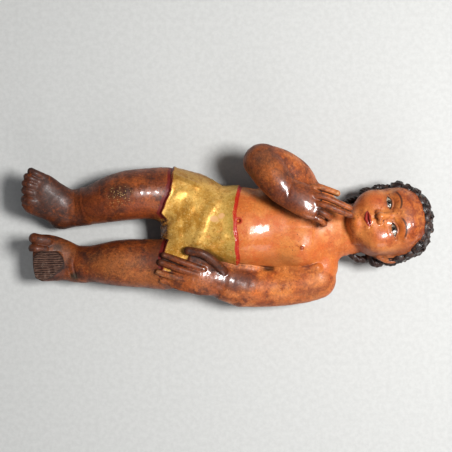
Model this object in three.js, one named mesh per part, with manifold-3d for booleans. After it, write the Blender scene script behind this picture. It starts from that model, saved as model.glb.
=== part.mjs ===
// A carved and painted wooden figure of a child, about 32 cm from toes to crown, lying on its back.
// The right hand is raised to the chin in blessing, the left rests on the hip, and the outer half
// of the left foot is lost, which leaves a nearly level face of bare wood.
//
// Millimetres. +X points to the crown of the head, +Y to the figure's own right, +Z up out of the
// chest. The carving is laid out from the small of its back, on the surface that it lies on, and
// the finished mesh is then moved so that the origin is under the middle of its whole length and
// breadth.

import * as THREE from "three";
import { mergeVertices } from "three/addons/utils/BufferGeometryUtils.js";
import Module from "manifold-3d";

const wasm = await Module();
wasm.setup();

// Driving dimensions
const CLOTH = 1.1; // how far the loincloth stands proud of the body
const TOE = 3.0; // radius of a small toe
const FINGER = 2.5; // radius of a finger
const CURL = 4.7; // radius of a curl of hair

const SKY = new THREE.Vector3(0, 0, 1);

// One station of a limb: its centre, half its breadth, and its depth above and below the centre.
function station(x, y, z, breadth, over = breadth, under = over) {
  return { at: new THREE.Vector3(x, y, z), size: new THREE.Vector3(breadth, over, under) };
}

function smoothCurve(points) {
  return new THREE.CatmullRomCurve3(points, false, "catmullrom", 0.5);
}

// A capsule bent along a limb's stations and swelled to their sizes. Its two rounded ends reach
// beyond the first and last station by the two lengths in `ends`. A fullness over 2 squares the
// cross-section a little.
function limb(
  stations,
  { sides = 14, rings = 9, caps = 3, up = SKY, ends, fullness = 2 } = {},
) {
  const path = smoothCurve(stations.map((s) => s.at));
  const girth = smoothCurve(stations.map((s) => s.size));
  const reach = ends ?? [0, 1].map((t) => Math.min(...girth.getPoint(t).toArray()));
  const form = new THREE.CapsuleGeometry(1, 1, caps, sides, rings);
  const place = form.getAttribute("position");
  const side = new THREE.Vector3();
  const top = new THREE.Vector3();
  for (let i = 0; i < place.count; i++) {
    const along = place.getY(i) + 0.5;
    const t = THREE.MathUtils.clamp(along, 0, 1);
    const beyond = (along - t) * reach[t < 0.5 ? 0 : 1];
    const tangent = path.getTangent(t);
    const size = girth.getPoint(t);
    side.crossVectors(tangent, up).normalize();
    top.crossVectors(side, tangent);
    const across = place.getX(i);
    const upward = place.getZ(i);
    const radius = Math.hypot(across, upward);
    const power = Math.abs(across) ** fullness + Math.abs(upward) ** fullness;
    const swell = radius > 1e-6 ? radius / power ** (1 / fullness) : 1;
    const depth = upward > 0 ? size.y : size.z;
    const point = path
      .getPoint(t)
      .addScaledVector(side, across * swell * size.x)
      .addScaledVector(top, upward * swell * depth)
      .addScaledVector(tangent, beyond);
    place.setXYZ(i, point.x, point.y, point.z);
  }
  return form;
}

// A rod of one thickness, or tapering to a second one, through points given as [x, y, z].
function rod(points, radius, endRadius = radius, options = {}) {
  const last = points.length - 1;
  const stations = points.map((p, i) =>
    station(...p, THREE.MathUtils.lerp(radius, endRadius, i / last)),
  );
  return limb(stations, { sides: 7, rings: 3, caps: 2, ...options });
}

function ball([x, y, z], [rx, ry, rz], sides = 14, rings = 10) {
  return new THREE.SphereGeometry(1, sides, rings).scale(rx, ry, rz).translate(x, y, z);
}

function solid(geometry) {
  const bare = geometry.clone();
  bare.deleteAttribute("normal");
  bare.deleteAttribute("uv");
  const merged = mergeVertices(bare, 1e-4);
  return new wasm.Manifold(
    new wasm.Mesh({
      numProp: 3,
      vertProperties: merged.attributes.position.array,
      triVerts: new Uint32Array(merged.index.array),
    }),
  );
}

function joined(geometries) {
  return geometries.map(solid).reduce((whole, piece) => whole.add(piece));
}

// The same form with fewer facets, no further off than the given distance.
function plainer(form, distance) {
  return form.asOriginal().simplify(distance);
}

// Small hollows that got closed in between the forms are filled: only the outer skin is kept.
function withoutHollows(form) {
  const skins = form.decompose().sort((a, b) => b.volume() - a.volume());
  return skins[0];
}

// Torso and neck
const TORSO = [
  station(-33, 0, 20, 41, 22, 20.5),
  station(-25, 0.5, 20, 40, 25, 20.8),
  station(-15, 0.5, 20, 34.5, 26.5, 20.5),
  station(-4, 0, 20, 30.6, 28, 18),
  station(9, -0.3, 20, 31.2, 28.3, 16.5),
  station(23, -1.5, 20, 30.8, 27.8, 17.5),
  station(38, -1, 20, 32.6, 27, 19.5),
  station(54, -1, 20, 34, 26.5, 20.8),
  station(67, -1.5, 20, 33.4, 24, 20),
  station(76, -2, 21.5, 30, 20, 17),
  station(84, -2.5, 23, 24.5, 17.5, 16),
  station(94, -2.5, 24.5, 20, 17, 16),
  station(106, -1, 25.5, 19, 16, 16),
];

function torso() {
  return [
    limb(TORSO, { sides: 22, rings: 14, ends: [17, 10] }),
    ball([-26, 19, 16], [23, 21, 17.5], 16, 10),
    ball([-26, -21, 16], [23, 21, 17.5], 16, 10),
    ball([75, -31, 21], [12.8, 14.5, 13.5], 14, 10),
    ball([71, 20, 21], [12, 12.5, 13.5], 14, 10),
  ];
}

// Legs: hip, thigh, knee, calf, ankle, then the foot from the heel to the roots of the toes
const RIGHT_LEG = [
  station(-30, 19, 22, 20, 20, 20),
  station(-45, 24, 24, 21.6, 20, 21),
  station(-59, 25, 25, 20.6, 20.5, 20),
  station(-75, 23.8, 26, 20, 20, 19),
  station(-88, 21.9, 24.5, 18.6, 19, 18),
  station(-100, 18.4, 21, 16.2, 16.5, 16),
  station(-111, 15.4, 18, 14.4, 13.5, 14),
  station(-119, 14, 18, 13.8, 12, 14),
  station(-127, 15.2, 21, 14.8, 10.8, 18.5),
  station(-136, 19.5, 26, 15.6, 9, 16),
  station(-145, 25, 31, 15.2, 6.8, 11),
  station(-150, 28, 33.5, 13.8, 4.8, 7),
];
const LEFT_LEG = [
  station(-30, -24, 22, 20, 20, 20),
  station(-47, -29.5, 23, 20, 19, 20.5),
  station(-61, -29.3, 23, 19, 18.5, 20),
  station(-75, -28.5, 23.5, 19, 18.5, 19.5),
  station(-88, -28.7, 23, 17.8, 17.5, 18.5),
  station(-100.5, -29.4, 21, 15, 15, 16),
  station(-111, -30.2, 19, 13.9, 13, 14.5),
  station(-119, -29.6, 18.5, 13.8, 12, 15),
  station(-127.5, -28, 21, 15, 10.8, 18.5),
  station(-136.5, -26, 25, 17, 9, 16),
  station(-142.5, -25.2, 27.8, 17.8, 7.6, 12),
  station(-147, -24.8, 29.8, 16.8, 5.4, 7.6),
];

// Each toe runs from its root in the foot to its tip, and has its own thickness.
const RIGHT_TOES = [
  { root: [-144, 18, 31.5], tip: [-154, 20.5, 34.5], radius: TOE * 1.4 },
  { root: [-145, 24, 33], tip: [-154.6, 27.4, 36.5], radius: TOE * 1.05 },
  { root: [-145, 29.5, 34], tip: [-154, 32.8, 37.5], radius: TOE },
  { root: [-144, 34, 34], tip: [-152.6, 37.8, 37.5], radius: TOE * 0.95 },
  { root: [-141.5, 38, 33], tip: [-149.6, 42, 36.5], radius: TOE },
];
const LEFT_TOES = [
  { root: [-138, -11.5, 31.5], tip: [-147.6, -9.5, 35], radius: TOE * 1.4 },
  { root: [-141, -18, 33], tip: [-151, -17, 36.5], radius: TOE * 1.15 },
];

function toes(list) {
  return list.map(({ root, tip, radius }) => {
    const bend = [0, 1, 2].map((i) => root[i] + 0.6 * (tip[i] - root[i]));
    bend[2] += 1.5;
    return rod([root, bend, tip], radius, radius, { rings: 3 });
  });
}

function rightLeg() {
  return [
    limb(RIGHT_LEG, { sides: 16, rings: 14, ends: [12, 3] }),
    ball([-131, 8.2, 14], [11, 11.6, 12.5]),
    ...toes(RIGHT_TOES),
  ];
}

// Outside its second toe the left foot has split off along the grain, down to a nearly level
// face of bare wood that runs out at the sole.
const BREAK = { edge: -19.6, height: 30, slope: THREE.MathUtils.degToRad(5) };

function leftLeg() {
  const whole = joined([
    limb(LEFT_LEG, { sides: 16, rings: 14, ends: [12, 2.4] }),
    ball([-128, -28.5, 12.5], [10, 10, 11.5]),
    ...toes(LEFT_TOES),
  ]);
  const lost = new THREE.BoxGeometry(60, 40, 30)
    .translate(0, BREAK.edge - 20, 15)
    .rotateY(-BREAK.slope)
    .translate(-136, 0, BREAK.height);
  return whole.subtract(solid(lost));
}

// Arms: shoulder, elbow and wrist, then the palm. Wood is left uncut between the left arm and
// the side of the body.
const LEFT_ARM = [
  station(71, -41, 21.5, 16, 15, 15),
  station(61, -44.5, 21.5, 15.6, 15, 14.5),
  station(43, -47.6, 21, 15, 14.5, 14),
  station(26, -48, 21, 15.4, 15, 14.5),
  station(13, -47, 22, 15.8, 15, 15),
  station(0, -43.2, 26.5, 14.5, 13, 14),
  station(-9, -41, 32, 12.8, 10, 10.5),
  station(-18, -40.2, 37, 13.4, 7.5, 9),
  station(-28, -39.8, 41, 12.8, 4.8, 7),
];
const ARM_WEB = [
  station(66, -32, 18, 6, 9, 10),
  station(36, -33, 17, 5, 7, 8),
  station(8, -31, 18, 6, 11, 9),
  station(-6, -30, 22, 6, 12, 12),
];
const RIGHT_UPPER_ARM = [
  station(57, 28, 24, 15, 14, 14),
  station(55.5, 33, 27, 15.4, 15, 15),
  station(50, 39.5, 33, 15.4, 15, 15),
  station(40, 45, 40, 14.8, 14, 14),
  station(29, 48.5, 46, 13.6, 13, 13),
];
const RIGHT_FOREARM = [
  station(26.6, 49.4, 46.5, 13.7, 13, 13),
  station(33.5, 39.5, 51.5, 13.6, 12.5, 12.5),
  station(40, 30.6, 55, 12.1, 11.5, 11.5),
  station(46, 25.3, 57.5, 11.5, 9.8, 10),
  station(54, 21.4, 59, 12, 8, 8.6),
  station(62.3, 18.2, 60, 12.8, 6.2, 7.2),
  station(72, 14.6, 59.6, 10.5, 4.6, 5),
];

// Right hand: first and middle fingers and thumb point to the chin, the other two are curled under.
const RIGHT_FINGERS = [
  { route: [[66, 23, 59.6], [74, 21.6, 61], [84, 17.2, 60.5], [92.4, 13.3, 58]], radius: FINGER },
  { route: [[69, 17, 59.5], [76, 15.6, 61], [85, 11.6, 60.5], [93.4, 7.9, 58]], radius: FINGER * 1.08 },
  { route: [[69, 14.5, 59], [75.5, 11, 58.5], [77, 7, 54], [74.5, 5, 49.5]], radius: FINGER * 1.08 },
  { route: [[66, 10.5, 58], [71.5, 6.5, 57], [72.5, 2.8, 52.5], [70, 2.4, 47.5]], radius: FINGER * 1.05 },
  { route: [[58, 26, 56], [67, 29.3, 56.5], [75.5, 27.2, 57], [83, 24.4, 57]], radius: FINGER * 1.1 },
];
const LEFT_FINGERS = [
  { route: [[-17, -33, 42], [-33, -27.6, 44], [-47.4, -22.2, 43.2]], radius: FINGER * 1.06 },
  { route: [[-22, -37, 42.5], [-37, -32.2, 44.2], [-49.6, -27.6, 43.6]], radius: FINGER * 1.16 },
  { route: [[-26, -42.2, 41], [-40, -38.8, 42.4], [-52, -35, 42]], radius: FINGER * 1.04 },
  { route: [[-29, -48.2, 38], [-40, -45.3, 39.5], [-49.4, -41.8, 38.8]], radius: FINGER * 0.92 },
  { route: [[-3, -34, 38], [-10, -25.4, 44], [-18, -20.2, 47.5], [-28.6, -18.4, 47]], radius: FINGER * 1.2 },
];

function fingers(list) {
  return list.map(({ route, radius }) =>
    rod(route, radius, radius * 0.88, { rings: route.length > 3 ? 5 : 3 }),
  );
}

function arms() {
  return [
    limb(LEFT_ARM, { sides: 16, rings: 12, ends: [15, 5] }),
    limb(ARM_WEB, { sides: 8, rings: 5 }),
    limb(RIGHT_UPPER_ARM, { sides: 16, rings: 7 }),
    limb(RIGHT_FOREARM, { sides: 16, rings: 9, ends: [13, 4] }),
    ...fingers(RIGHT_FINGERS),
    ...fingers(LEFT_FINGERS),
  ];
}

// Head, in a frame of its own: origin in the middle of the skull, +X to the crown, +Y to the
// figure's right and +Z out of the face.
const HEAD_AT = [124.5, 2, 31.5];
const HEAD_TILT = THREE.MathUtils.degToRad(8);
const HEAD_TURN = THREE.MathUtils.degToRad(-14);
const HEAD_POSE = new THREE.Matrix4()
  .makeTranslation(...HEAD_AT)
  .multiply(new THREE.Matrix4().makeRotationZ(HEAD_TILT))
  .multiply(new THREE.Matrix4().makeRotationX(HEAD_TURN));

// From the chin to the crown
const SKULL = [
  station(-25, 0, 8, 15, 14, 12),
  station(-19, 0, 5, 21.5, 18.4, 17),
  station(-12, 0, 2.5, 25, 21.4, 22),
  station(-4, 0, 1, 26.8, 23.4, 27),
  station(5, 0, -0.5, 27.8, 25.4, 30),
  station(13, 0, -1, 27.4, 26.2, 30.5),
  station(20, 0, -1.6, 24.6, 24, 28),
];
const BOTH = [-1, 1];

function skull(thickness = 0) {
  const stations = SKULL.map((s) => ({ at: s.at, size: s.size.clone().addScalar(thickness) }));
  const ends = [7 + thickness, 12.6 + thickness];
  return limb(stations, { sides: 22, rings: 9, caps: 4, ends, fullness: 2.25 });
}

// An eyelid is an arc that lies on the eyeball between the two corners of the eye.
const EYE = { at: [0.4, 9.9, 18.8], radii: [4.6, 6.3, 4.5] };

function lid(side, rise) {
  const [x, y, z] = EYE.at;
  return Array.from({ length: 5 }, (_, i) => {
    const along = (Math.PI * i) / 4;
    const dx = rise * Math.sin(along);
    const dy = -5.6 * Math.cos(along);
    const height = Math.sqrt(1 - (dx / EYE.radii[0]) ** 2 - (dy / EYE.radii[1]) ** 2);
    return [x + dx, side * y + dy, z + EYE.radii[2] * height];
  });
}

function face() {
  const rounded = joined([
    skull(),
    ball([-25, 0, 14], [6.5, 9, 8]),
    ...BOTH.map((s) => ball([-11, 12.4 * s, 11.8], [11.5, 11.2, 11], 12, 9)),
  ]);
  const sockets = joined(BOTH.map((s) => ball([0.8, 10 * s, 27.2], [4.8, 7, 5.6], 14, 8)));
  const features = joined([
    rod([[7, 0, 22], [-1, 0, 24.2], [-8.6, 0, 26]], 1.8, 3.3, { sides: 10 }),
    rod([[-15.2, -6.4, 21.4], [-14.8, 0, 23.8], [-15.2, 6.4, 21.4]], 1.4),
    rod([[-17.9, -5.2, 21.4], [-18.5, 0, 23.2], [-17.9, 5.2, 21.4]], 1.7),
    ...BOTH.flatMap((s) => [
      ball([EYE.at[0], s * EYE.at[1], EYE.at[2]], EYE.radii, 12, 8),
      rod(lid(s, 3), 0.9, 0.9, { sides: 5, rings: 4, caps: 1 }),
      rod(lid(s, -2.6), 0.8, 0.8, { sides: 5, rings: 4, caps: 1 }),
      ball([-9.4, 3.2 * s, 24.2], [2.2, 2.3, 2.3], 8, 6),
      rod([[4, 27 * s, -3], [-2, 29.6 * s, -4], [-10, 26.6 * s, 0]], 3, 2.2, { rings: 3 }),
    ]),
  ]);
  return rounded.subtract(sockets).add(features);
}

// The hair is a cap behind a slanting hairline, covered with rows of snail curls. A place on the
// scalp is told by the angle around the face and the angle back from it.
const SCALP = { at: [5, 0, -1], radii: [29.8, 30.4, 32] };

function onScalp(around, back) {
  const out = new THREE.Vector3(
    Math.cos(around) * Math.sin(back),
    Math.sin(around) * Math.sin(back),
    Math.cos(back),
  );
  return out.multiply(new THREE.Vector3(...SCALP.radii)).add(new THREE.Vector3(...SCALP.at));
}

function hairCap() {
  const faceOpening = new THREE.BoxGeometry(120, 120, 60)
    .translate(0, 0, 30)
    .rotateY(THREE.MathUtils.degToRad(-16))
    .translate(0, 0, 1);
  return solid(skull(1.5)).subtract(solid(faceOpening));
}

// Rows of curls, from the hairline backwards: how many, how far back at the crown and how much
// further at the nape, and the arc they fill.
const CURL_ROWS = [
  { count: 17, back: 74, slant: 15, reach: 130 },
  { count: 14, back: 96, slant: 13, reach: 148 },
  { count: 10, back: 119, slant: 8, reach: 155 },
  { count: 5, back: 144, slant: 4, reach: 144 },
];

function curls() {
  const rad = THREE.MathUtils.degToRad;
  return CURL_ROWS.flatMap(({ count, back, slant, reach }) =>
    Array.from({ length: count }, (_, i) => {
      const around = rad(THREE.MathUtils.lerp(-reach, reach, i / (count - 1)));
      const place = onScalp(around, rad(back + slant * (1 - Math.cos(around))));
      const out = place.clone().sub(new THREE.Vector3(...SCALP.at)).normalize();
      const size = CURL * (i % 2 ? 1 : 1.14);
      return new THREE.TorusGeometry(size * 0.58, size * 0.46, 4, 7)
        .rotateZ(i * 0.7)
        .applyQuaternion(new THREE.Quaternion().setFromUnitVectors(SKY, out))
        .translate(...place.toArray());
    }),
  );
}

// Longer locks behind the ears and down the sides of the neck. Those on the figure's right lie
// further forward.
const SIDE_LOCKS = [
  { points: [[8, 26, -9], [2, 30.2, -10], [-4, 29.8, -8], [-5, 25, -6]], radius: 3.6 },
  { points: [[-4, 24, -11], [-9, 29, -12], [-15, 28.6, -10], [-17, 24, -7]], radius: 4 },
  { points: [[-12, 19, -14], [-18, 23, -15], [-27, 22.4, -14], [-33, 18, -12]], radius: 3.6 },
];

function sideLocks() {
  return BOTH.flatMap((s) =>
    SIDE_LOCKS.map(({ points, radius }) => {
      const mirrored = points.map(([x, y, z]) => [x, s * (y + (s > 0 ? 1 : 0)), z + (s > 0 ? 9 : 0)]);
      return rod(mirrored, radius, radius * 0.75, { rings: 4 });
    }),
  );
}

function head() {
  const hair = plainer(joined([...curls(), ...sideLocks()]).add(hairCap()), 0.4);
  return hair.add(plainer(face(), 0.15)).transform(HEAD_POSE.elements);
}

// The loincloth follows the body, a little proud of it, between a waist line and two hems.
function loincloth() {
  const prouder = (list) =>
    list.map((s) => ({ at: s.at, size: s.size.clone().addScalar(CLOTH) }));
  const fold = [[-8, 18, 43.5], [-14, 10, 47], [-18, -2, 47.5], [-22, -12, 44]];
  const body = joined([
    limb(prouder(TORSO.slice(0, 7)), { sides: 22, rings: 7, ends: [18, 10] }),
    limb(prouder(RIGHT_LEG.slice(0, 6)), { sides: 16, rings: 7, ends: [12, 10] }),
    limb(prouder(LEFT_LEG.slice(0, 6)), { sides: 16, rings: 7, ends: [12, 10] }),
    rod(fold, CLOTH * 1.6, CLOTH, { up: SKY }),
  ]);
  const outline = new THREE.Shape();
  outline.moveTo(11, 50);
  outline.quadraticCurveTo(5, 12, 8.5, -50);
  outline.lineTo(-53, -60);
  outline.quadraticCurveTo(-52, -35, -46.5, -14);
  outline.lineTo(-53, -7);
  outline.lineTo(-52.5, 2);
  outline.quadraticCurveTo(-50, 8, -50, 12);
  outline.quadraticCurveTo(-46, 28, -42.5, 60);
  outline.closePath();
  const reach = new THREE.ExtrudeGeometry(outline, {
    depth: 70,
    bevelEnabled: false,
    curveSegments: 5,
  }).translate(0, 0, -5);
  return body.intersect(solid(reach));
}

function carvedFigure() {
  const floor = new THREE.BoxGeometry(500, 300, 40).translate(0, 0, -20);
  const body = joined([...torso(), ...rightLeg(), ...arms()]).add(leftLeg()).add(loincloth());
  const whole = plainer(body, 0.25).add(head()).subtract(solid(floor));
  return withoutHollows(plainer(whole, 0.35));
}

function geometryOf(manifold) {
  const { vertProperties, triVerts } = manifold.getMesh();
  return new THREE.BufferGeometry()
    .setAttribute("position", new THREE.BufferAttribute(vertProperties, 3))
    .setIndex(new THREE.BufferAttribute(triVerts, 1));
}

const paintedWood = new THREE.MeshStandardMaterial({
  color: new THREE.Color(0.62, 0.3, 0.12),
  roughness: 0.35,
  metalness: 0,
});

const figure = new THREE.Mesh(geometryOf(carvedFigure()), paintedWood);
figure.name = "carved_figure";
const middle = new THREE.Box3().setFromObject(figure).getCenter(new THREE.Vector3());
figure.position.set(-middle.x, -middle.y, 0);

const part = new THREE.Group();
part.add(figure);

export default part;
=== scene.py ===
# The carved and painted figure of a child, finished: smooth carving, curled hair, paint, gold leaf
# and wear. Millimetres are used for the carving and turned into metres when a mesh is made.
import math

import bpy
import numpy as np
from mathutils import Matrix, Vector


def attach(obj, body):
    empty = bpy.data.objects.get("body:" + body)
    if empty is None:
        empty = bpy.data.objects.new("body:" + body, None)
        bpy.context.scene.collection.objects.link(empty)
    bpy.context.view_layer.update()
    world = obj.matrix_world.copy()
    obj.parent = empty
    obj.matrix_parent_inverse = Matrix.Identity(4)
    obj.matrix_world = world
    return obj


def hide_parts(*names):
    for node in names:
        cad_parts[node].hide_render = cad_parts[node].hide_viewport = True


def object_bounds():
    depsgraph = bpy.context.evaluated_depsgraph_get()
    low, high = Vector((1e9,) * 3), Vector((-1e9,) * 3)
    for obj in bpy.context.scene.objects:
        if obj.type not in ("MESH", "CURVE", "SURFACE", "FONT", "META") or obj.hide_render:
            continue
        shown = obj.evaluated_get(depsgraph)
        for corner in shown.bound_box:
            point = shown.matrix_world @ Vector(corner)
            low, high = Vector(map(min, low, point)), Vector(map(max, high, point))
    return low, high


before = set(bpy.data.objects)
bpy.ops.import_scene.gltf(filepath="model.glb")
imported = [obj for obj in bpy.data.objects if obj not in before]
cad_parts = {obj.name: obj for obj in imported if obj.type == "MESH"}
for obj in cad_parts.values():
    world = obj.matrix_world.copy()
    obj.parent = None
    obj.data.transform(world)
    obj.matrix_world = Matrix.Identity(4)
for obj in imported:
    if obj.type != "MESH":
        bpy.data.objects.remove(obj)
cad_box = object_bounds()

MM = 0.001
CELL = 0.56  # spacing of the lattice that the carving is cut from, mm
HEAD_CELL = 0.44  # closer, along the head
MOST_TRIANGLES = 192000
SPARE = 2.6  # mm that a block may be off the surface, as distances run high by the ears

# The carving is laid out from the small of the back, and the finished mesh is moved so that the
# origin is under the middle of the whole length and breadth.
CENTRE = np.array([1.94, -0.655, 0.0])

bpy.context.scene.view_settings.view_transform = "Standard"

# The camera looks straight down on the figure.
camera = bpy.data.objects.new("camera", bpy.data.cameras.new("camera"))
bpy.context.collection.objects.link(camera)
camera.location = (-CENTRE[0] * MM, -CENTRE[1] * MM, 0.790)
camera.data.lens = 78.1
camera.data.sensor_width = 36
camera.data.clip_start = 0.01
bpy.context.scene.camera = camera


# Carving: bent and swelled rounds, melted into one another


def through(points, per_span):
    """Points on a smooth curve through the given ones."""
    points = np.asarray(points, float)
    first = 2 * points[0] - points[1]
    last = 2 * points[-1] - points[-2]
    held = np.vstack([first, points, last])
    found = []
    for i in range(1, len(held) - 2):
        p0, p1, p2, p3 = held[i - 1 : i + 3]
        m1 = 0.5 * (p2 - p0)
        m2 = 0.5 * (p3 - p1)
        for t in np.arange(per_span) / per_span:
            t2 = t * t
            t3 = t2 * t
            found.append(
                (2 * t3 - 3 * t2 + 1) * p1
                + (t3 - 2 * t2 + t) * m1
                + (3 * t2 - 2 * t3) * p2
                + (t3 - t2) * m2
            )
    found.append(points[-1])
    return np.array(found)


def unit(v):
    return v / np.maximum(np.linalg.norm(v, axis=-1, keepdims=True), 1e-9)


class Limb:
    """A round form along stations of x, y, z, half breadth, depth over and depth under."""

    def __init__(
        self, rows, blend=2.0, ends=None, up=(0, 0, 1), fullness=2.0, grow=0.0, tone=0.0, wear=0.0
    ):
        rows = np.array(rows, float)
        rows[:, 3:] += grow
        line = through(rows, max(3, 24 // len(rows)))
        self.at = line[:, :3]
        self.size = np.maximum(line[:, 3:], 0.2)
        self.along = unit(np.gradient(self.at, axis=0))
        self.side = unit(np.cross(self.along, np.array(up, float)))
        self.top = np.cross(self.side, self.along)
        if ends is None:
            ends = [self.size[0].min(), self.size[-1].min()]
        self.ends = np.array(ends, float) + grow
        self.blend = blend
        self.fullness = fullness
        self.tone = tone
        self.wear = wear
        reach = self.size.max(axis=1, keepdims=True)
        reach[0] = max(reach[0, 0], self.ends[0])
        reach[-1] = max(reach[-1, 0], self.ends[1])
        self.low = (self.at - reach).min(axis=0)
        self.high = (self.at + reach).max(axis=0)

    def distance(self, p):
        c = self.at
        gaps = (p * p).sum(1)[:, None] - 2 * p @ c.T + (c * c).sum(1)[None]
        i = gaps.argmin(axis=1)
        v = p - c[i]
        ahead = (v * self.along[i]).sum(1)
        j = np.clip(i + np.sign(ahead).astype(int), 0, len(c) - 1)
        span = np.linalg.norm(c[j] - c[i], axis=1)
        f = np.where(span > 0, np.minimum(np.abs(ahead) / np.maximum(span, 1e-6), 1), 0)[:, None]
        rest = v - (c[j] - c[i]) * f
        side = self.side[i] * (1 - f) + self.side[j] * f
        top = self.top[i] * (1 - f) + self.top[j] * f
        size = self.size[i] * (1 - f) + self.size[j] * f
        a = (rest * side).sum(1)
        b = (rest * top).sum(1)
        beyond = np.where(i == j, np.abs(ahead), 0)
        end = np.where(i == 0, self.ends[0], self.ends[1])
        ra = size[:, 0]
        rb = np.where(b > 0, size[:, 1], size[:, 2])
        if self.fullness == 2.0:
            flat = (a / ra) ** 2 + (b / rb) ** 2
        else:
            n = self.fullness
            flat = (np.abs(a / ra) ** n + np.abs(b / rb) ** n) ** (2 / n)
        k0 = np.sqrt(flat + (beyond / end) ** 2)
        k1 = np.sqrt((a / ra**2) ** 2 + (b / rb**2) ** 2 + (beyond / end**2) ** 2)
        return np.where(k0 < 0.15, -0.8 * np.minimum(ra, rb), k0 * (k0 - 1) / np.maximum(k1, 1e-4))


class Ball:
    """An egg shape with its own three radii."""

    def __init__(self, at, radii, blend=2.0, tone=0.0, wear=0.0):
        self.at = np.array(at, float)
        self.radii = np.array(radii, float)
        self.blend = blend
        self.tone = tone
        self.wear = wear
        self.low = self.at - self.radii
        self.high = self.at + self.radii

    def distance(self, p):
        v = (p - self.at) / self.radii
        k0 = np.linalg.norm(v, axis=1)
        k1 = np.linalg.norm(v / self.radii, axis=1)
        return np.where(k0 < 0.1, -0.8 * self.radii.min(), k0 * (k0 - 1) / np.maximum(k1, 1e-4))


def rod(points, radius, end_radius=None, **more):
    end_radius = radius if end_radius is None else end_radius
    widths = np.linspace(radius, end_radius, len(points))
    return Limb([[*p, r, r, r] for p, r in zip(points, widths)], **more)


def soft_min(a, b, k):
    h = np.maximum(k - np.abs(a - b), 0) / k
    return np.minimum(a, b) - h * h * k / 4


def soft_max(a, b, k):
    return -soft_min(-a, -b, k)


FAR = 12.0


class Group:
    """Forms that melt together. Hollows are cut out of them afterwards."""

    def __init__(self, forms, hollows=()):
        self.forms = forms
        self.hollows = hollows
        self.low = np.min([f.low for f in forms], axis=0) - FAR
        self.high = np.max([f.high for f in forms], axis=0) + FAR

    def distance(self, p, tones=None):
        d = np.full(len(p), FAR)
        for form in self.forms:
            near = np.flatnonzero(
                ((p > form.low - form.blend - 3) & (p < form.high + form.blend + 3)).all(axis=1)
            )
            if not len(near):
                continue
            own = form.distance(p[near])
            d[near] = soft_min(d[near], own, form.blend)
            if tones is not None:
                weight = np.exp(-np.clip(own, -3, 8) / 0.7)
                tones[near] += weight[:, None] * [form.tone, form.wear, 1]
        for form in self.hollows:
            near = np.flatnonzero(
                ((p > form.low - form.blend) & (p < form.high + form.blend)).all(axis=1)
            )
            if len(near):
                d[near] = soft_max(d[near], -form.distance(p[near]), form.blend)
        return d


def ripple(p, length, seed):
    """Smooth unevenness between about -1 and 1."""
    chance = np.random.default_rng(seed)
    total = np.zeros(len(p))
    for _ in range(7):
        way = unit(chance.normal(size=3)) * 2 * math.pi / (length * chance.uniform(0.7, 1.5))
        total += np.sin(p @ way + chance.uniform(0, 6.28))
    return total / 3.2


# Body

TORSO = [
    [-33, 0, 20, 41, 22, 20.5],
    [-25, 0.5, 20, 40, 25, 20.8],
    [-15, 0.5, 20, 34.5, 26.5, 20.5],
    [-4, 0, 20, 30.6, 28, 18],
    [9, -0.3, 20, 31.2, 28.3, 16.5],
    [23, -1.5, 20, 30.8, 27.8, 17.5],
    [38, -1, 20, 32.6, 27, 19.5],
    [54, -1, 20, 34, 26.5, 20.8],
    [67, -1.5, 20, 33.4, 25.3, 20],
    [76, -2, 21.5, 30, 22, 17],
    [84, -2.5, 23, 24.5, 18.4, 16],
    [94, -2.5, 24.5, 20, 17, 16],
    [106, -1, 25.5, 19, 16, 16],
]
RIGHT_LEG = [
    [-30, 19, 22, 20, 20, 20],
    [-45, 24, 24, 21.6, 19.2, 21],
    [-59, 25.4, 25, 19.7, 21.2, 20],
    [-75, 24.1, 26, 19.4, 23.4, 19],
    [-88, 21.3, 24.5, 18.2, 21.8, 18],
    [-100, 17.9, 21, 16.1, 18.4, 16],
    [-111, 15.4, 18, 14.4, 14.2, 14],
    [-119, 14, 18, 13.8, 12, 14],
    [-127, 15.2, 21, 14.8, 10.8, 18.5],
    [-136, 19.5, 26, 15.6, 9, 16],
    [-145, 24.7, 31, 16.8, 6.8, 11],
    [-150, 27.6, 33.5, 14.6, 4.8, 7],
]
LEFT_LEG = [
    [-30, -24, 22, 20, 20, 20],
    [-47, -29.5, 23, 20, 19, 20.5],
    [-61, -29.3, 23, 19, 18.5, 20],
    [-75, -28.9, 23.5, 18.6, 18.5, 19.5],
    [-88, -29.1, 23, 17.4, 17.5, 18.5],
    [-100.5, -29.4, 21, 15, 15, 16],
    [-111, -30.2, 19, 13.9, 13, 14.5],
    [-119, -29.6, 18.5, 13.8, 12, 15],
    [-127.5, -27.1, 21, 16.2, 10.8, 18.5],
    [-136.5, -25.3, 25, 18, 9, 16],
    [-142.5, -24.7, 27.8, 18.2, 7.6, 12],
    [-147, -24.8, 29.8, 16.8, 5.4, 7.6],
]
RIGHT_TOES = [
    ([-144, 18, 31.5], [-154, 20.5, 34.5], 4.2),
    ([-145, 24, 33], [-154.6, 27.4, 36.5], 3.15),
    ([-145, 29.5, 34], [-154, 32.8, 37.5], 3.0),
    ([-144, 34, 34], [-152.6, 37.8, 37.5], 2.85),
    ([-141.5, 38, 33], [-149.6, 42, 36.5], 3.0),
]
LEFT_TOES = [
    ([-138, -11.5, 31.5], [-147.6, -9.5, 35], 4.2),
    ([-140, -18, 33], [-148.6, -17, 36.5], 3.3),
]
BREAK_EDGE = -19.6
BREAK_HEIGHT = 30.3
BREAK_SLOPE = math.tan(math.radians(8))

BODY_TONE = 0.0
FACE_TONE = 0.22
LEG_TONE = 0.78
FOOT_TONE = 1.15
ARM_TONE = 0.3
UPPER_ARM_TONE = 0.42
FOREARM_TONE = 0.72


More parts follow.
